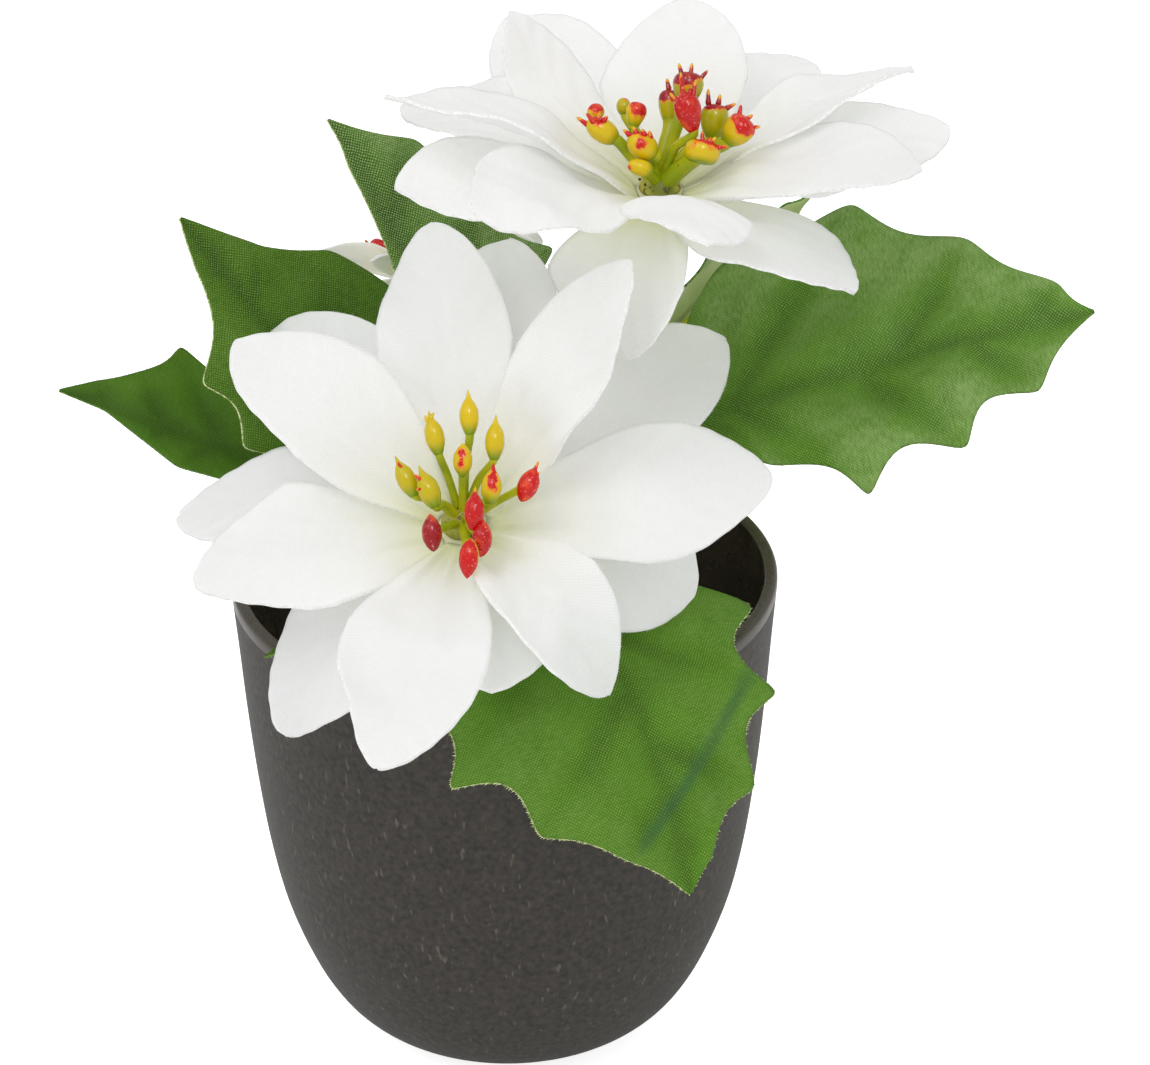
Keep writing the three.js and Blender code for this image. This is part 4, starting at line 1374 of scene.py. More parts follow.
@dataclass
class Bloom:
    """Two die-cut whorls of fabric petals on the peg of a moulded cluster of buds.

    Its levels are distances out from its centre on its axis. Its dyes are each one's strength at the hub, and
    how far out it reaches.
    """

    name: str
    centre: Triple
    axis: Triple
    length: float
    width: float
    upper: list[Petal]
    lower: list[Petal]
    buds: list[Bud]
    spike_radius: float = 0.26
    spike_reach: float = 1.0
    rows: int = 81
    columns: int = 33
    lower_level: float = -0.95
    upper_level: float = 0.05
    petal_root: float = 2.8
    hub_hole: float = 1.6
    hub_radius: float = 3.6
    flange: float = 0.7
    flange_radius: float = 2.6
    peg_radius: float = 1.2
    peg_length: float = 4.2
    scraps: int = 14
    hub_sides: int = 40
    dyes: tuple[Pair, ...] = ((0.5, 9.5), (0.45, 3.2))
    widest: float = 0.56
    fold_depth: float = 0.3
    small_fold_depth: float = 0.1
    midrib_depth: float = 0.3
    midrib_width: float = 0.8
    vein_depth: float = 0.07
    vein_spacing: float = 5.2
    wave_depth: float = 0.2
    ruffle_depth: float = 0.3

    def __post_init__(self) -> None:
        """Works out the bloom's own axes: right, up its face, and out."""
        self.out = unit(self.axis)
        self.right = unit(np.array([1.0, 0, 0]) - self.out * self.out[0])
        self.up = np.cross(self.out, self.right)

    def turned(self, local: Sequence[float] | np.ndarray) -> np.ndarray:
        """Returns directions given as right, up and out, in the model's frame."""
        return np.asarray(local, float) @ np.stack([self.right, self.up, self.out])

    def place(self, local: Sequence[float] | np.ndarray) -> np.ndarray:
        """Returns points given as right, up and out from the centre, in the model's frame."""
        return np.asarray(self.centre, float) + self.turned(local)

    def half_width(self, share: np.ndarray, width: float) -> np.ndarray:
        """Works out half a petal's width: a wedge, full past half way, then a point.

        Args:
            share: the share of the petal's length.
            width: its full width.

        Returns:
            Half its width there.
        """
        wedge = 1 - 0.98 * np.maximum(1 - share / self.widest, 0) ** 1.35
        past = np.clip((share - self.widest) / (1 - self.widest), 0, 1)
        point = (1 - past**2) ** 0.68 + 0.02
        return width / 2 * np.where(share < self.widest, wedge, point)

    def petal_relief(
        self, along: np.ndarray, out: np.ndarray, v: np.ndarray, length: float, seed: int
    ) -> np.ndarray:
        """Works out a petal's folds from the hub, its pressed midrib and side veins, and its soft waves.

        Args:
            along: distances from the hub.
            out: distances from the midrib.
            v: the share of the way from the midrib to the edge, from -1 to 1.
            length: the petal's length.
            seed: what its waves are drawn from.

        Returns:
            How far each point stands proud.
        """
        rng = np.random.default_rng(seed)
        share = along / length
        free = eased(share, 0.12, 0.4)
        rooted = eased(share, 0.07, 0.14)
        wide = np.cos(2.6 * math.pi * v + rng.uniform(-0.5, 0.5)) * (1 - eased(share, 0.2, 0.75))
        narrow = np.cos(5.4 * math.pi * v + rng.uniform(0, 6)) * (1 - eased(share, 0.12, 0.45))
        folds = (self.fold_depth * wide + self.small_fold_depth * narrow) * rooted
        pressed = np.exp(-((out / self.midrib_width) ** 2)) * (1 - 0.7 * share) * rooted
        slanted = np.cos(math.tau * (along - 1.3 * np.abs(out)) / self.vein_spacing)
        veins = slanted * eased(np.abs(v), 0.05, 0.3) * free
        waves = np.zeros_like(along)
        for _ in range(4):
            angle, size, phase = rng.uniform(-0.9, 0.9), rng.uniform(11, 20), rng.uniform(0, math.tau)
            waves += np.sin(math.tau / size * (along * math.cos(angle) + out * math.sin(angle)) + phase)
        ruffle = np.sin(math.tau * along / rng.uniform(13, 19) + np.sign(v) + rng.uniform(0, 6))
        loose = free * (self.wave_depth * waves + self.ruffle_depth * np.abs(v) ** 3 * ruffle)
        return folds - self.midrib_depth * pressed + self.vein_depth * veins + loose

    def petal(self, petal: Petal, level: float, seed: int, draft: Draft) -> tuple[np.ndarray, float]:
        """Adds a petal to a draft.

        Args:
            petal: the petal.
            level: how far out on the axis its whorl lies.
            seed: what its waves are drawn from.
            draft: what it is added to.

        Returns:
            Its cut edge, and its flat area in square millimetres.
        """
        length, width = petal.length or self.length, petal.width or self.width
        run = length - self.petal_root
        t = 1 - (1 - np.linspace(0, 1, self.rows)) ** 1.45
        tilt = np.radians(petal.lift - petal.droop * t**1.3)
        forward = np.stack([np.cos(tilt), 0 * t, np.sin(tilt)], 1)
        steps = np.vstack([np.zeros(3), forward[1:] * np.diff(t)[:, None]]).cumsum(axis=0)
        spine = np.array([self.petal_root, 0, level]) + steps * run
        roll = np.radians(petal.twist * t)[:, None]
        lean = np.stack([-np.sin(tilt), 0 * t, np.cos(tilt)], 1)
        flat = np.array([0.0, 1.0, 0.0])
        side = flat * np.cos(roll) + lean * np.sin(roll)
        rise = -flat * np.sin(roll) + lean * np.cos(roll)
        along = self.petal_root + run * t
        half = self.half_width(along / length, width)
        v = np.linspace(-1, 1, self.columns)
        out = v * half[:, None]
        cup = petal.cup * v**2 * ((2 * half / width) ** 2)[:, None]
        local = spine[:, None] + side[:, None] * out[..., None] + rise[:, None] * cup[..., None]
        turn = math.radians(petal.azimuth)
        cosine, sine = math.cos(turn), math.sin(turn)
        spin = np.array([[cosine, sine, 0], [-sine, cosine, 0], [0, 0, 1]])
        grid = self.place(local @ spin)
        place = np.broadcast_to(along[:, None], out.shape)
        relief = self.petal_relief(place, out, np.broadcast_to(v, out.shape), length, seed)
        hub = sum(depth * np.exp(-(((place - 3) / reach) ** 2)) for depth, reach in self.dyes)
        border = draft.blade(grid, np.stack([out, place], -1), relief, CLOTH_THICKNESS, (0, 0, 1), hub=hub)
        return border, area_under(along, 2 * half)

    def whorl(self, name: str, petals: list[Petal], level: float, fray: FrayTree) -> str:
        """Builds one whorl and its frayed edges.

        Args:
            name: which whorl it is.
            petals: its petals.
            level: how far out on the axis it lies.
            fray: the tree that makes thread ends.

        Returns:
            The whorl's name.
        """
        draft = Draft()
        half = CLOTH_THICKNESS / 2
        ring = np.array([(self.hub_hole, -half), (self.hub_radius, -half), (self.hub_radius, half),
                         (self.hub_hole, half)])
        sides = self.hub_sides
        angles = np.linspace(0, math.tau, sides, endpoint=False)
        local = np.stack([np.outer(np.cos(angles), ring[:, 0]), np.outer(np.sin(angles), ring[:, 0]),
                          np.tile(ring[:, 1] + level, (sides, 1))], -1).reshape(-1, 3)
        k, side = np.meshgrid(np.arange(4), np.arange(sides))
        here, there = side * 4, (side + 1) % sides * 4
        quads = np.stack([here + k, there + k, there + (k + 1) % 4, here + (k + 1) % 4], -1).reshape(-1, 4)
        draft.add(self.place(local), quads, smooth=False, hub=np.full(len(local), 0.9))
        borders = []
        area = math.pi * (self.hub_radius**2 - self.hub_hole**2)
        for k, petal in enumerate(petals):
            border, cut = self.petal(petal, level, hash_seed(self.name, name, k), draft)
            borders.append(border)
            area += cut
        node = f"{self.name}_petals_{name}"
        finishes = [PETAL.material(), PETAL_EDGE.finish.material()]
        sheet = placed(f"{node}_cloth", draft.mesh(node, finishes), [node])
        seed = len(petals) + int(level > 0)
        threads = fray.piece(f"{node}_threads", "petal", borders, PETAL_EDGE, seed)
        return sheet.name

    def stalk(self, bud: Bud, rng: np.random.Generator) -> np.ndarray:
        """Runs a bud's stalk, a little uneven and flared at its ends.

        Args:
            bud: the bud.
            rng: what its unevenness is drawn from.

        Returns:
            Rows of a point and a radius.
        """
        x, y, h = bud.at
        foot = self.place([x * 0.1, y * 0.1, self.flange + 0.8])
        bend = self.place([x * 0.5, y * 0.5, h * 0.5 + 0.6])
        head = self.place(bud.at)
        back = unit(self.turned(bud.point)) * bud.size[1]
        end = [head] if bud.across or bud.form is BudForm.SPINDLE else [head - back, head - back * 0.5]
        line = smooth_path([foot, bend, *end], 24)
        share = np.linspace(0, 1, 24)
        lumps = 1 + 0.04 * np.sin(rng.uniform(0, 6) + 9 * share)
        thick = bud.stalk * lumps * (1 + 0.4 * (1 - share) ** 4 + 0.08 * eased(share, 0.6, 0.9))
        return np.column_stack([line, thick])

    def paint(self, bud: Bud, axes: np.ndarray, local: np.ndarray) -> np.ndarray:
        """Works out how deep in a bud's red enamel points are.

        Args:
            bud: the bud.
            axes: the bud's own right, up and out.
            local: the points, as right, up and out from its middle.

        Returns:
            Distances from the enamel's edge, below 0 outside it.
        """
        depth = np.full(len(local), -2.0)
        for patch in bud.patches:
            reach = np.linalg.norm((local - axes @ self.turned(patch.at)) / (1, 1, patch.long), axis=1)
            depth = np.maximum(depth, patch.radius - reach)
        return depth

    def bud(self, bud: Bud, draft: Draft) -> None:
        """Adds a bud with its paint and spikes to a draft.

        Args:
            bud: the bud.
            draft: what it is added to.
        """
        head = self.place(bud.at)
        axes = turned_to(self.turned(bud.point))
        outline = smooth_path(bud.form.value, 26) * bud.size
        outline[[0, -1], 0] = 0
        green, yellow = -bud.size[1] * 1.05, -bud.size[1] * 0.3
        draft.lathe(outline, 24, head, axes[2], wine=bud.wine,
                    paint=lambda local: self.paint(bud, axes, local),
                    ripe=lambda local: bud.ripe * eased(local[:, 2], green, yellow))
        for root, tip in bud.spikes:
            start, way = head + self.turned(root), self.turned(np.subtract(tip, root)) * self.spike_reach
            tall = float(np.linalg.norm(way))
            wide = self.spike_radius
            knots = [(0, -0.35), (wide, 0), (wide * 0.78, tall * 0.4), (wide * 0.5, tall * 0.85), (0, tall)]
            spike = smooth_path(knots, 12)
            spike[[0, -1], 0] = 0
            draft.lathe(spike, 9, start, way, ripe=1.0, wine=bud.wine,
                        paint=lambda local, tall=tall: bud.tipped - 0.62 * (local[:, 2] / tall))

    def centre_piece(self, rods: RodTree) -> None:
        """Builds the moulded cluster: its peg and rough hub, its buds, and their stalks.

        Args:
            rods: the tree that sweeps stalks.
        """
        rng = np.random.default_rng(hash_seed(self.name))
        draft = Draft()
        top, low, wide = self.flange, self.flange - self.peg_length, self.flange_radius
        dome = [(0, low), (self.peg_radius, low), (self.peg_radius, top), (wide, top),
                (wide - 0.1, top + 0.3), (wide - 0.6, top + 1.1), (1.2, top + 1.9), (0.4, top + 2.1),
                (0, top + 2.1)]
        finishes = [BUD, HUB, SCRAPS]
        rough = [finishes.index(HUB)] * (len(dome) - 1)
        draft.lathe(np.array(dome), 32, self.place([0, 0, 0]), self.out, slots=rough)
        for _ in range(self.scraps):
            angle, reach, size = rng.uniform(0, math.tau), rng.uniform(0.4, 3.2), rng.uniform(0.1, 0.24)
            spot = (reach * math.cos(angle), reach * math.sin(angle), self.flange + 2.4 - 0.45 * reach)
            lump = np.array([(0, -1), (0.8, -0.5), (1, 0.2), (0.5, 0.9), (0, 1)]) * size
            scorched = [finishes.index(SCRAPS)] * (len(lump) - 1)
            draft.lathe(lump, 6, self.place(spot), rng.normal(size=3), slots=scorched)
        stalks = []
        for bud in self.buds:
            self.bud(bud, draft)
            stalks.append(self.stalk(bud, rng))
        node = f"{self.name}_cyathia"
        mesh = draft.mesh(node, [finish.material() for finish in finishes])
        placed(f"{node}_buds", mesh, [node])
        placed(f"{node}_stalks", rods.mesh(stalks, STEM.material()), [node])

    def build(self, rods: RodTree, fray: FrayTree) -> None:
        """Builds the whole bloom.

        Args:
            rods: the tree that sweeps stalks.
            fray: the tree that makes thread ends.
        """
        lower = self.whorl("lower", self.lower, self.lower_level, fray)
        self.whorl("upper", self.upper, self.upper_level, fray)
        self.centre_piece(rods)


# ---------------------------------------------------------------- stems


@dataclass
class Stem:
    """A moulded stem with the calyx that holds its bloom, and a stalk and rib for each of its leaves.

    It stands upright in the filler on its foot, and passes through a few points on the way to its bloom.
    """

    bloom: Bloom
    foot: Pair
    via: list[Triple]
    leaves: list[Leaf]
    foot_height: float = 18.0
    radius: float = 1.4
    stalk_radius: float = 0.75
    rib_length: float = 13.0
    calyx_top: float = -1.6
    calyx_radius: float = 2.7
    calyx_depth: float = 4.5

    def build(self, rods: RodTree) -> None:
        """Builds the stem.

        Args:
            rods: the tree that sweeps stems and stalks.
        """
        bloom = self.bloom
        seat = bloom.place([0, 0, self.calyx_top])
        neck = bloom.place([0, 0, self.calyx_top - self.calyx_depth])
        end = bloom.place([0, 0, self.calyx_top - 0.4])
        upright = [(*self.foot, height) for height in (self.foot_height, FILLER_TOP - 3, FILLER_TOP + 1)]
        spine = smooth_path([*upright, *self.via, neck, end], 90)
        lines = [np.column_stack([spine, np.full(len(spine), self.radius)])]
        for leaf in self.leaves:
            share, bend = leaf.stalk
            start = spine[round(share * (len(spine) - 1))]
            stalk = smooth_path([start, bend, leaf.under(-2.4), leaf.under(-0.7)], 28)
            thick = np.linspace(self.stalk_radius * 1.15, self.stalk_radius * 0.8, 28)
            lines.append(np.column_stack([stalk, thick]))
            rib = smooth_path([leaf.under(at) for at in (-2, self.rib_length / 2, self.rib_length)], 20)
            lines.append(np.column_stack([rib, np.linspace(RIB_RADIUS * 1.3, RIB_RADIUS * 0.5, 20)]))
        node = f"{bloom.name}_stem"
        placed(f"{node}_rods", rods.mesh(lines, STEM.material()), [node])
        draft = Draft()
        knots = [(0, -self.calyx_depth - 1.2), (self.radius, -self.calyx_depth - 0.6),
                 (self.radius + 0.15, -self.calyx_depth), (self.radius + 0.6, -2.6),
                 (self.calyx_radius - 0.1, -0.9), (self.calyx_radius, -0.5)]
        cup = np.vstack([smooth_path(knots, 24), [(self.calyx_radius, 0), (0, 0)]])
        cup[0, 0] = 0
        draft.lathe(cup, 32, seat, bloom.out)
        placed(f"{bloom.name}_calyx", draft.mesh(node, [STEM.material()]), [node])


# ---------------------------------------------------------------- studio


@dataclass(frozen=True)
class Lamp:
    """A soft light that shines evenly from far away. It looks as wide as its spread, in degrees."""

    name: str
    toward: Triple
    spread: float
    strength: float
    shadow: bool = True

    def build(self) -> None:
        """Adds the light."""
        lamp = bpy.data.lights.new(self.name, "SUN")
        lamp.angle = math.radians(self.spread)
        lamp.energy = self.strength
        lamp.use_shadow = self.shadow
        holder = bpy.data.objects.new(self.name, lamp)
        bpy.context.scene.collection.objects.link(holder)
        holder.rotation_euler = Vector(self.toward).to_track_quat("Z", "Y").to_euler()


@dataclass
class Studio:
    """A camera that looks down on the plant, white paper under it, and soft light."""

    image: tuple[int, int] = (1150, 1065)
    focal_pixels: float = 4820.0
    distance: float = 600.0
    look_down: float = 28.0
    roll: float = -0.4
    target: Triple = (0.0, 0.0, 63.5)
    target_pixel: Pair = (504.4, 568.9)
    sky_strength: float = 0.64
    key: Lamp = Lamp("key", (-0.55, -0.4, 1.0), 40.0, 0.5)
    fill: Lamp = Lamp("fill", (0.1, -0.6, 0.8), 20.0, 0.78, shadow=False)
    paper: StudioPaper = StudioPaper("white paper", roughness=0.9)
    paper_half: float = 3.0

    def camera(self) -> None:
        """Creates the camera, so that the target falls on its pixel."""
        tilt, roll = math.radians(self.look_down), math.radians(self.roll)
        forward = np.array([0, math.cos(tilt), -math.sin(tilt)])
        level = np.array([1.0, 0, 0])
        rise = np.cross(level, forward)
        right = math.cos(roll) * level + math.sin(roll) * rise
        up = -math.sin(roll) * level + math.cos(roll) * rise
        scale = self.distance / self.focal_pixels
        aside = (self.target_pixel[0] - self.image[0] / 2) * scale
        below = (self.target_pixel[1] - self.image[1] / 2) * scale
        spot = np.array(self.target) - forward * self.distance - right * aside + up * below
        lens = bpy.data.cameras.new("camera")
        lens.sensor_fit = "HORIZONTAL"
        lens.sensor_width = 36.0
        lens.lens = self.focal_pixels / self.image[0] * lens.sensor_width
        lens.clip_start = 0.05
        lens.clip_end = 20.0
        eye = bpy.data.objects.new("camera", lens)
        bpy.context.scene.collection.objects.link(eye)
        turn = Matrix([[right[k], up[k], -forward[k]] for k in range(3)]).to_4x4()
        eye.matrix_world = Matrix.Translation(Vector(spot * MM)) @ turn
        bpy.context.scene.camera = eye

    def build(self) -> None:
        """Builds the studio."""
        scene = bpy.context.scene
        scene.view_settings.view_transform = "Standard"
        self.camera()
        world = bpy.data.worlds.new("studio")
        world.use_nodes = True
        feed(world.node_tree, world.node_tree.nodes["Background"],
             {"Color": (1.0, 1.0, 1.0, 1.0), "Strength": self.sky_strength})
        scene.world = world
        self.key.build()
        self.fill.build()
        mesh = bpy.data.meshes.new("paper")
        half = self.paper_half
        corners = [(x * half, y * half, 0) for x, y in ((-1, -1), (1, -1), (1, 1), (-1, 1))]
        mesh.from_pydata(corners, [], [(0, 1, 2, 3)])
        mesh.materials.append(self.paper.material())
        floor = bpy.data.objects.new("paper", mesh)
        scene.collection.objects.link(floor)


# ---------------------------------------------------------------- this plant's blooms and leaves


def front_bloom() -> Bloom:
    """Lists the petals and buds of the low bloom, which faces the front.

    Returns:
        The bloom.
    """
    return Bloom(
        "front", (-4.6, -17, 78.6), (-0.06, -0.47, 0.88), 41, 18.6,
        upper=[
            Petal(95, 25.3, 17, 39.5, 16.5, -0.5, -16),
            Petal(44, 40.3, -3, 38.8, 13.7, 1.3, -12),
            Petal(4, 14.6, 19, 37.8, 20.1, -0.5, -1),
            Petal(-55, 29.7, 75, 31.3, 13.9, 3.4, -20),
            Petal(-101, 22.5, 6, 45.4, 16.9, 2.8, -19),
            Petal(197, 21, 31, 33.6, 21.6, 0.9, 24),
            Petal(142, 27.1, 16, 36, 17.8, 2, 14),
        ],
        lower=[
            Petal(127, 13.2, 33, 40.2, 18, 1, -23),
            Petal(82, 16.6, 22, 41.1, 17.9, 0.9, -10),
            Petal(39, 11.4, 24, 41.8, 17.5, 0.8, 18),
            Petal(-13, 7.7, 53, 30, 19.4, 0.7, 18),
            Petal(-82, 12.1, -1, 27.1, 18.7, 0.4, -12),
            Petal(-135, 6.3, 47, 34, 18.8, 0, 20),
            Petal(166, 7.3, 44, 38.5, 16.6, 1.3, 14),
        ],
        buds=[
            Bud((1.6, 8.3, 11.2), (0, 3, 2), patches=(Patch((0, 0.7, 1.6), 0.05),)),
            Bud((-2.6, 6.1, 10.5), (-0.7, 3, 2), ripe=0.86, tipped=-2,
                spikes=(((-0.8, 1.3, 1.1), (-1, 1.9, 1.5)), ((-0.3, 1.6, 1.3), (0.1, 2.1, 1.6)))),
            Bud((4.6, 5.3, 10.1), (0.3, 3, 2),
                patches=(Patch((0.4, 1.8, 1.9), 0.1), Patch((0.4, 0.4, 1.5), 0.08)), ripe=0.9),
            Bud((-6.1, 1.4, 8.5), (-1.6, 3, 2), ripe=0.7,
                spikes=(((-0.4, 0.7, 1.1), (-1, 1.5, 1.5)), ((-0.3, 0, 0.8), (-1, 0, 0.7)))),
            Bud((-3.4, -0.4, 8.7), (-1.3, 3, 2), (1.3, 2.3), ripe=0.72,
                spikes=(((-0.8, 0.6, 1.1), (-1.6, 1.2, 1.5)), ((-0.7, -0.4, 0.7), (-1.4, -0.5, 0.6)))),
            Bud((0.7, 3.2, 9.1), (0.2, 3, 2), (1.14, 1.95), BudForm.SPINDLE,
                (Patch((-0.1, 0.4, 1.5), 0.48, 2.6), Patch((-0.15, -0.7, 0.9), 0.36, 2.4))),
            Bud((4.1, -0.3, 8.7), (0.5, 3, 2), (1.2, 2.1),
                patches=(Patch((0.3, 0.1, 1.2), 0.62, 2.2), Patch((0.5, 1.8, 1.7), 0.6, 1.6))),
            Bud((8.4, 0.2, 7.8), (1.7, 3, 2), (1.25, 2.1), BudForm.SPINDLE,
                (Patch((0.3, -0.5, 1.2), 1.72, 2),),
                (((0.8, 1.3, 1.1), (1.4, 2.2, 1.7)), ((1, 0.8, 0.8), (1.4, 1.1, 1)))),
            Bud((-3.1, -5.3, 6.6), (-0.2, 3, 2), (1.2, 2.15), BudForm.SPINDLE,
                (Patch((0, -0.7, 1.1), 1.75, 2.2),), wine=0.75),
            Bud((2.1, -3.9, 8.9), (0.3, 3, 2), (1.2, 2.2),
                patches=(Patch((0.3, -0.9, 1), 1.75, 2.2),), wine=0.1),
            Bud((2.9, -6.9, 7.3), (0.4, 3, 2), (1.2, 2.1), BudForm.SPINDLE,
                (Patch((0.1, -0.6, 1), 1.9, 2.2),), wine=0.25),
            Bud((1.4, -9.8, 7.7), (-0.5, -3, -2), (1.2, 2.3), BudForm.SPINDLE,
                (Patch((-0.3, -1.2, 0.6), 1.55, 2.2),), stalk=0.55),
        ],
    )


def top_bloom() -> Bloom:
    """Lists the petals and buds of the high bloom, which faces up.

    Returns:
        The bloom.
    """
    return Bloom(
        "top", (19.4, 8, 111), (0, -0.12, 1), 40, 18.6,
        upper=[
            Petal(-12, 28.6, 34, 33.2, 18.1, 0.5, -3),
            Petal(27, 23, 21, 36.4, 11.6, 1.6, -22),
            Petal(83, 20.5, -6, 31.2, 18.6, 0.4, -20),
            Petal(141, 26.3, -29, 29.8, 12.1, -0.2, 4),
            Petal(190, 43, 35, 37.8, 16.9, 1.7, 24),
            Petal(-133, 30.2, 19, 34.5, 16.5, 1.2, -28),
            Petal(-80, 38.5, 40, 32.4, 15.4, -1.8, -21),
        ],
        lower=[
            Petal(9, 16.3, 13, 36.5, 16.5, 0.7, 11),
            Petal(-38, 3.4, 20, 29.1, 22.6, 0, -29),
            Petal(-116, -17.9, 69, 22.5, 21.4, 0.8, 37),
            Petal(-159, 21.5, 11, 35, 18.7, 1.2, -8),
            Petal(144, 16.6, 37, 39.7, 16.9, 1.2, 2),
            Petal(115, 7.2, 5, 44.1, 17, 0.5, -15),
            Petal(62, 10, 20, 39, 17, 0.8, 0),
        ],
        buds=[
            Bud((-6.9, 1.1, 8), (-3.5, 1, 2.2), (1.45, 2.25), BudForm.ROUND, (Patch((-0.5, 0, 1.3), 0.75),),
                (((-1.1, -0.4, 1.4), (-1.8, 0.2, 2.1)), ((-0.5, -0.3, 1.5), (-0.4, 0.2, 2.2)),
                 ((0.1, -0.3, 1.5), (0.5, 0, 1.9)), ((-1.8, 0.2, 0.7), (-2.9, 0.7, 1.3))), 0.65),
            Bud((-7.7, 4.6, 8.6), (0, 1.2, 4), (1.04, 1.04), BudForm.ROUND, (Patch((0.1, 0.7, 1.8), 2.05),)),
            Bud((-4.3, 6.3, 8.3), (-0.4, 2.3, 3.3), (0.9, 1.1), BudForm.ROUND, (Patch((0.2, 0.4, 1), 0.4),),
                ripe=0.6, wine=0.7),
            Bud((-2.9, 2.5, 9.4), (0.8, 2, 3.5), (1.25, 1.55), BudForm.PEAR, (Patch((0.6, -0.2, 1.3), 1.4),),
                stalk=0.6),
            Bud((-2.1, -1.5, 7.3), (-3.1, 0.3, 2.4), (1.6, 2.1), BudForm.ROUND,
                (Patch((-0.2, -1.1, 1), 0.66), Patch((0.1, 0.1, 1.6), 0.62), Patch((-1.1, 0.4, 1.6), 0.5),
                 Patch((0.9, 0.3, 1), 0.35)),
                (((-1.6, 0.5, 1.3), (-2.2, 0.9, 1.7)), ((-0.8, 0.2, 1.7), (-1.1, 0.5, 2.3)),
                 ((0.2, -0.2, 1.7), (-0.1, 0.1, 2.2)), ((0.9, 0, 1.2), (0.8, 0.3, 1.8))), 0.7),
            Bud((-2.4, -3.8, 5.7), (-4, 0.4, 1), (1, 1.6), BudForm.ROUND, (Patch((-1.3, -0.4, 0.3), 0.3),),
                stalk=0.62, across=True),
            Bud((1.2, 6.6, 8), (-0.2, 2.3, 3.3), (1.25, 2.2), BudForm.CUP, (Patch((0.1, 1.3, 2.9), 2.6),),
                (((0, 1.3, 1.8), (-0.2, 1.9, 2.7)),), 0.8, 0.6, 0.85),
            Bud((3.4, 4.5, 11.9), (0.6, 2.3, 3.3), (1.85, 1.95), BudForm.CUP, (Patch((-0.4, 0.8, 2.2), 2.4),),
                (((-0.7, 0.6, 1.3), (-1, 1.4, 2.3)), ((0.3, 0.6, 1.2), (0.5, 1.4, 2.3)),
                 ((1.2, 0.2, 0.7), (2.2, 0.9, 1.6))), 0.75, 0.4, 0.75),
            Bud((3.4, -0.9, 11.5), (-1, 1.5, 3.8), (1.62, 2.55), BudForm.FLAME,
                (Patch((-0.1, -1, 0.8), 2.05, 1.7),),
                (((-1.3, 0.6, 1.3), (-2.1, 1, 2)), ((-0.7, 0.6, 1.7), (-0.9, 2.1, 3.8)),
                 ((0, 0.4, 2), (0.2, 1, 2.7)), ((0.5, 0.6, 1.8), (0.8, 1.7, 3.2)),
                 ((-0.4, 0.3, 2.1), (-0.7, 1, 2.8))), 0.55, wine=0.15),
            Bud((6.6, 3.4, 7.8), (0.4, 2.3, 3.3), (1.7, 2.2), BudForm.CUP, (Patch((0, 1.6, 3.7), 2.75),),
                (((-0.7, 1, 1.9), (-0.7, 1.9, 3.1)), ((0.5, 1, 1.9), (0.7, 1.5, 2.7)),
                 ((1.4, 0.7, 1.4), (2.4, 1, 1.8))), 0.8, 0.5, 0.7),
            Bud((9.3, 0, 8.5), (2.8, 1.3, 2.6), (1.85, 2), BudForm.CUP, (Patch((1.3, -0.1, 1.8), 2.15),),
                (((0.2, 0.7, 1.6), (0.4, 1.4, 2.5)), ((1, 0.5, 1.2), (1.7, 0.8, 1.6)),
                 ((1.4, -0.1, 0.4), (2.5, 0, 0.5))), 0.8),
            Bud((5, -2.9, 7.3), (0.8, 2.2, 3.2), (2.15, 1.5), BudForm.BOWL,
                (Patch((0.8, -0.3, 1.4), 1.05), Patch((-0.9, -0.7, 1.2), 0.55, 1.8)),
                (((0, -0.3, 1.3), (0, 0.4, 2.3)), ((0.8, -0.3, 1.2), (1.5, 0.1, 1.8)),
                 ((1.6, -0.5, 0.8), (2.8, -0.4, 0.9)), ((0.4, -0.6, 1.3), (0.9, -0.1, 1.9)),
                 ((-0.8, -0.4, 1.2), (-1.1, 0, 1.6))), 1.0, across=True),
        ],
        spike_radius=0.36, spike_reach=1.25,
    )


def back_bloom() -> Bloom:
    """Lists the petals and buds of the small bloom, which faces the back.

    Returns:
        The bloom.
    """
    places = [(-6.1, -2.4, 4.2), (-1.8, 4, 8.2), (2.8, 3, 8), (4.2, -1.6, 7.4), (-0.2, -0.4, 9.6),
              (-1.8, -4.2, 7.4)]
    crown = (((-0.9, 0, 0.9), (-1.5, 0.3, 2.2)), ((0.9, 0.2, 0.9), (1.5, 0.5, 2)),
             ((0, 0.9, 1), (0.1, 1.5, 2.2)), ((-0.9, -0.8, 0.5), (-1.6, -2.3, 0.9)))
    cap = (Patch((0, -0.6, 1.2), 2.4),)
    return Bloom(
        "back", (-9, 38, 86.4), (-0.35, 0.82, 0.45), 16, 9,
        upper=[
            Petal(203, 21, 5, 16.5, 5),
            *(Petal(azimuth, 22 - 3 * (k % 2), 32) for k, azimuth in enumerate((10, 70, 130, 268, 318))),
        ],
        lower=[
            Petal(azimuth, 6 - 3 * (k % 2), 36, 14)
            for k, azimuth in enumerate((-10, 50, 110, 170, 240, 295))
        ],
        buds=[
            Bud((x, y, h), (x, y, 6), (1.5, 1.7), BudForm.CUP, cap, crown, 0.6, 0.7, 0.3)
            for x, y, h in places
        ],
        rows=41, columns=17,
    )


COMMON_SPIKES = [(11.0, 14.0, 0.0), (22.5, 21.0, 0.3), (34.0, 16.0, 0.36), (43.0, 8.0, 0.3)]
SMALL_SPIKES = [(s * 0.95, w * 0.9, depth) for s, w, depth in COMMON_SPIKES]


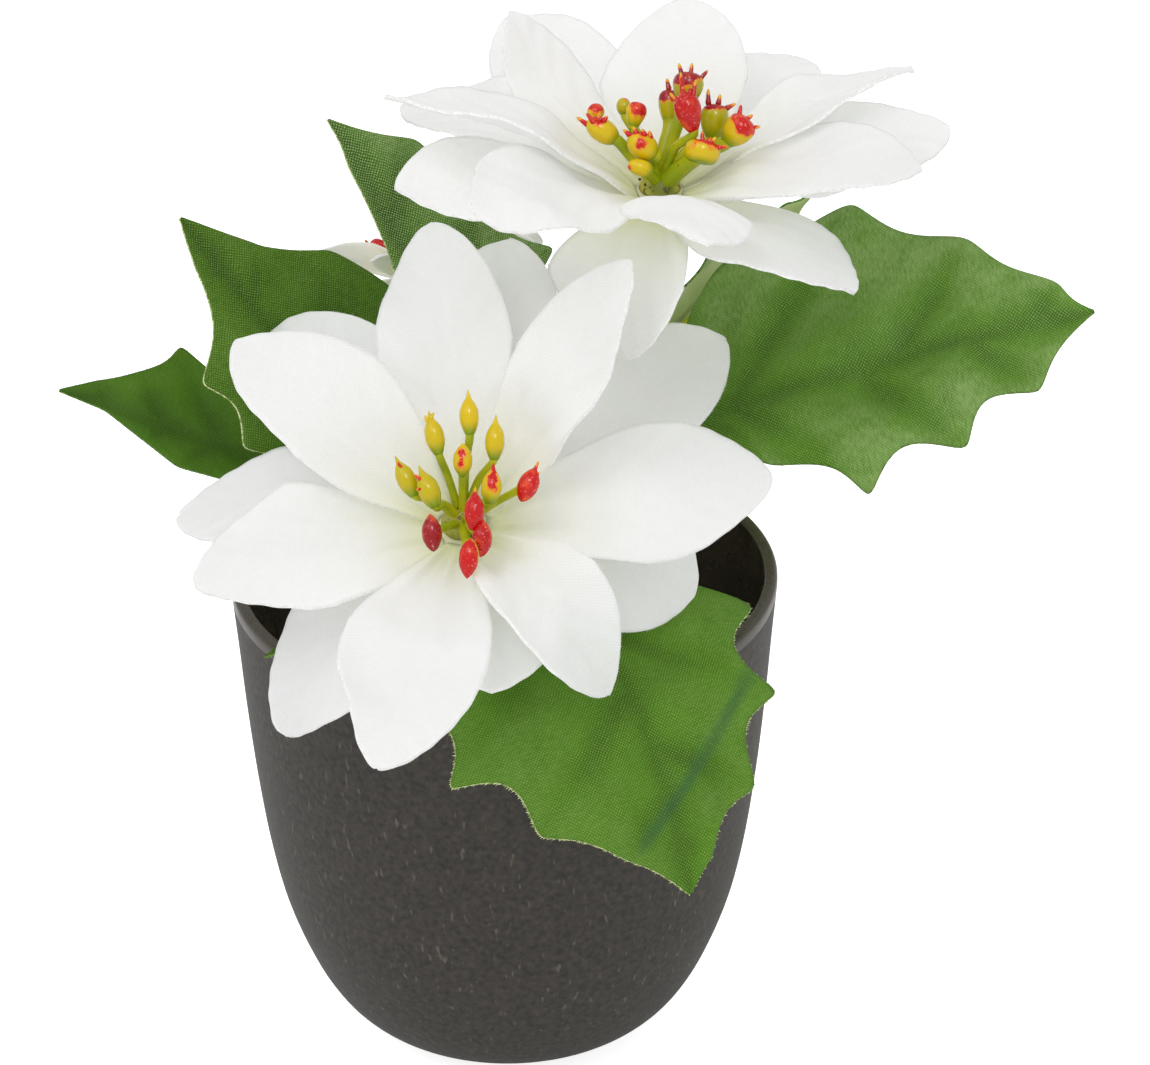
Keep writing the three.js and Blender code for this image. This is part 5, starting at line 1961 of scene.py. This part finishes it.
def front_leaves() -> list[Leaf]:
    """Lists the leaves of the front stem.

    Returns:
        The leaves.
    """
    small = [(4, 4, 0), (9, 7, 0.2), (14, 5.5, 0.3), (18, 3, 0.3)]
    return [
        Leaf("front_drape", (4, -15, 70.2), (-56.5, 3, -82), (1, 0.004), 46.8,
             [(15.1, 23.2, -0.05), (27.2, 19.9, 0.47), (37.2, 12.1, 0.33), (43.1, 3.8, 0.2)],
             [(13, 23.5, -0.05), (24.9, 26, 0.2), (34.2, 17.8, 0.34), (40, 7.9, 0.08)],
             (0.62, (1, -11, 66)), LeafFinish.FINE, last_scallop=0.05, puff=0.5, seed=11, cut=LOOSE_EDGE,
             crease=((24, 16.5), (39, -5))),
        Leaf("front_left", (-9, -12, 67.6), (-150, 5, -26), (4, 0.004), 23, small, small,
             (0.62, (-5, -10, 64)), LeafFinish.COARSE, seed=12),
        Leaf("mid_left", (-13, 6, 67.4), (156.5, 55.5, -8), (-20, 0.002), 46.6,
             [(8, 9, -0.05), (19.5, 13.5, 0.2), (29.1, 12.9, 0.3), (40.5, 3.2, 0.16)],
             [(9, 12, -0.05), (21.8, 19.8, 0.2), (31.8, 14.8, -0.03), (37.5, 6.6, 0.02)],
             (0.58, (-8, -3, 65)), LeafFinish.COARSE, last_scallop=0.0, seed=13, cut=PALE_EDGE),
    ]


def top_leaves() -> list[Leaf]:
    """Lists the leaves of the top stem.

    Returns:
        The leaves.
    """
    small = [(6, 5.5, 0), (12, 8, 0.15), (18, 6, 0.25), (23, 2.5, 0.25)]
    return [
        Leaf("right_broad", (24, 4, 82), (-2, 22, -8), (30, 0.002), 50.6,
             [(7, 22.5, -0.16), (24.2, 25.6, 0.08), (37.2, 14.9, 0.15), (47, 4.6, 0.09)],
             [(8, 10, -0.05), (19.1, 18.6, 0.18), (32.3, 15.6, 0.36), (42.4, 10.4, 0.38)],
             (0.6, (19, 8, 80)), LeafFinish.SATIN, last_scallop=0.1, puff=1.0, waves=0.5, seed=14,
             cut=FINE_EDGE),
        Leaf("back_upright", (20, 24, 83.6), (24, 42, -8), (-62, 0.002), 26.5, small, small,
             (0.64, (17.5, 18, 81)), LeafFinish.SATIN, seed=15),
        Leaf("tall_left", (0, 11, 75), (150, 62, -8), (-20, 0.002), 46.5,
             [(9, 6.5, 0), (21, 7.6, 0.2), (31, 1.8, 0.15), (40, 1, 0.02)],
             [(8, 12, -0.05), (18, 20.5, 0.2), (30, 15.2, 0.25), (38.7, 9.7, 0.1)],
             (0.45, (4, 10, 71)), LeafFinish.PALE, last_scallop=0.06, seed=16, cut=PALE_EDGE),
    ]


def back_leaves() -> list[Leaf]:
    """Lists the leaves of the back stem.

    Returns:
        The leaves.
    """
    return [
        Leaf("left_small", (-18, 9, 69), (177, 21, 0), (-35, 0), 40,
             [(8, 4.2, 0), (23, 4.8, 0.03), (28, 2.8, 0), (34, 0.5, 0)],
             [(10, 6, 0), (27.5, 11.9, 0.05), (31.1, 6.3, 0.12), (36, 3, 0.03)],
             (0.42, (-10, 9, 64)), LeafFinish.SMOOTH, last_scallop=0.0, seed=17),
        Leaf("back_low", (-9, 17, 70), (102, 11, -50), (0, 0.003), 48, COMMON_SPIKES, COMMON_SPIKES,
             (0.45, (-7, 14, 68)), LeafFinish.FINE, seed=18),
        Leaf("back_side", (8, 17, 72), (28, 14, -42), (0, 0.003), 46, SMALL_SPIKES, SMALL_SPIKES,
             (0.48, (2, 13, 68)), LeafFinish.SATIN, seed=19),
    ]


def main() -> None:
    """Builds the studio and the plant, and reports each piece."""
    logging.basicConfig(level=logging.INFO, format="%(name)s: %(message)s")
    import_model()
    Studio().build()
    pot = Pot()
    pot.build()
    Filler(pot).build()
    rods, fray = RodTree(), FrayTree()
    stems = [
        Stem(front_bloom(), (-1, -6), [(-1.5, -8, 58)], front_leaves()),
        Stem(top_bloom(), (6, 2), [(10, 6, 66), (18, 12, 90)], top_leaves()),
        Stem(back_bloom(), (-4, 7), [(-4.5, 9, 58), (-5, 19, 75)], back_leaves()),
    ]
    for stem in stems:
        stem.build(rods)
        stem.bloom.build(rods, fray)
        for leaf in stem.leaves:
            leaf.build(fray, f"{stem.bloom.name}_stem_rods")


if __name__ == "__main__":
    main()
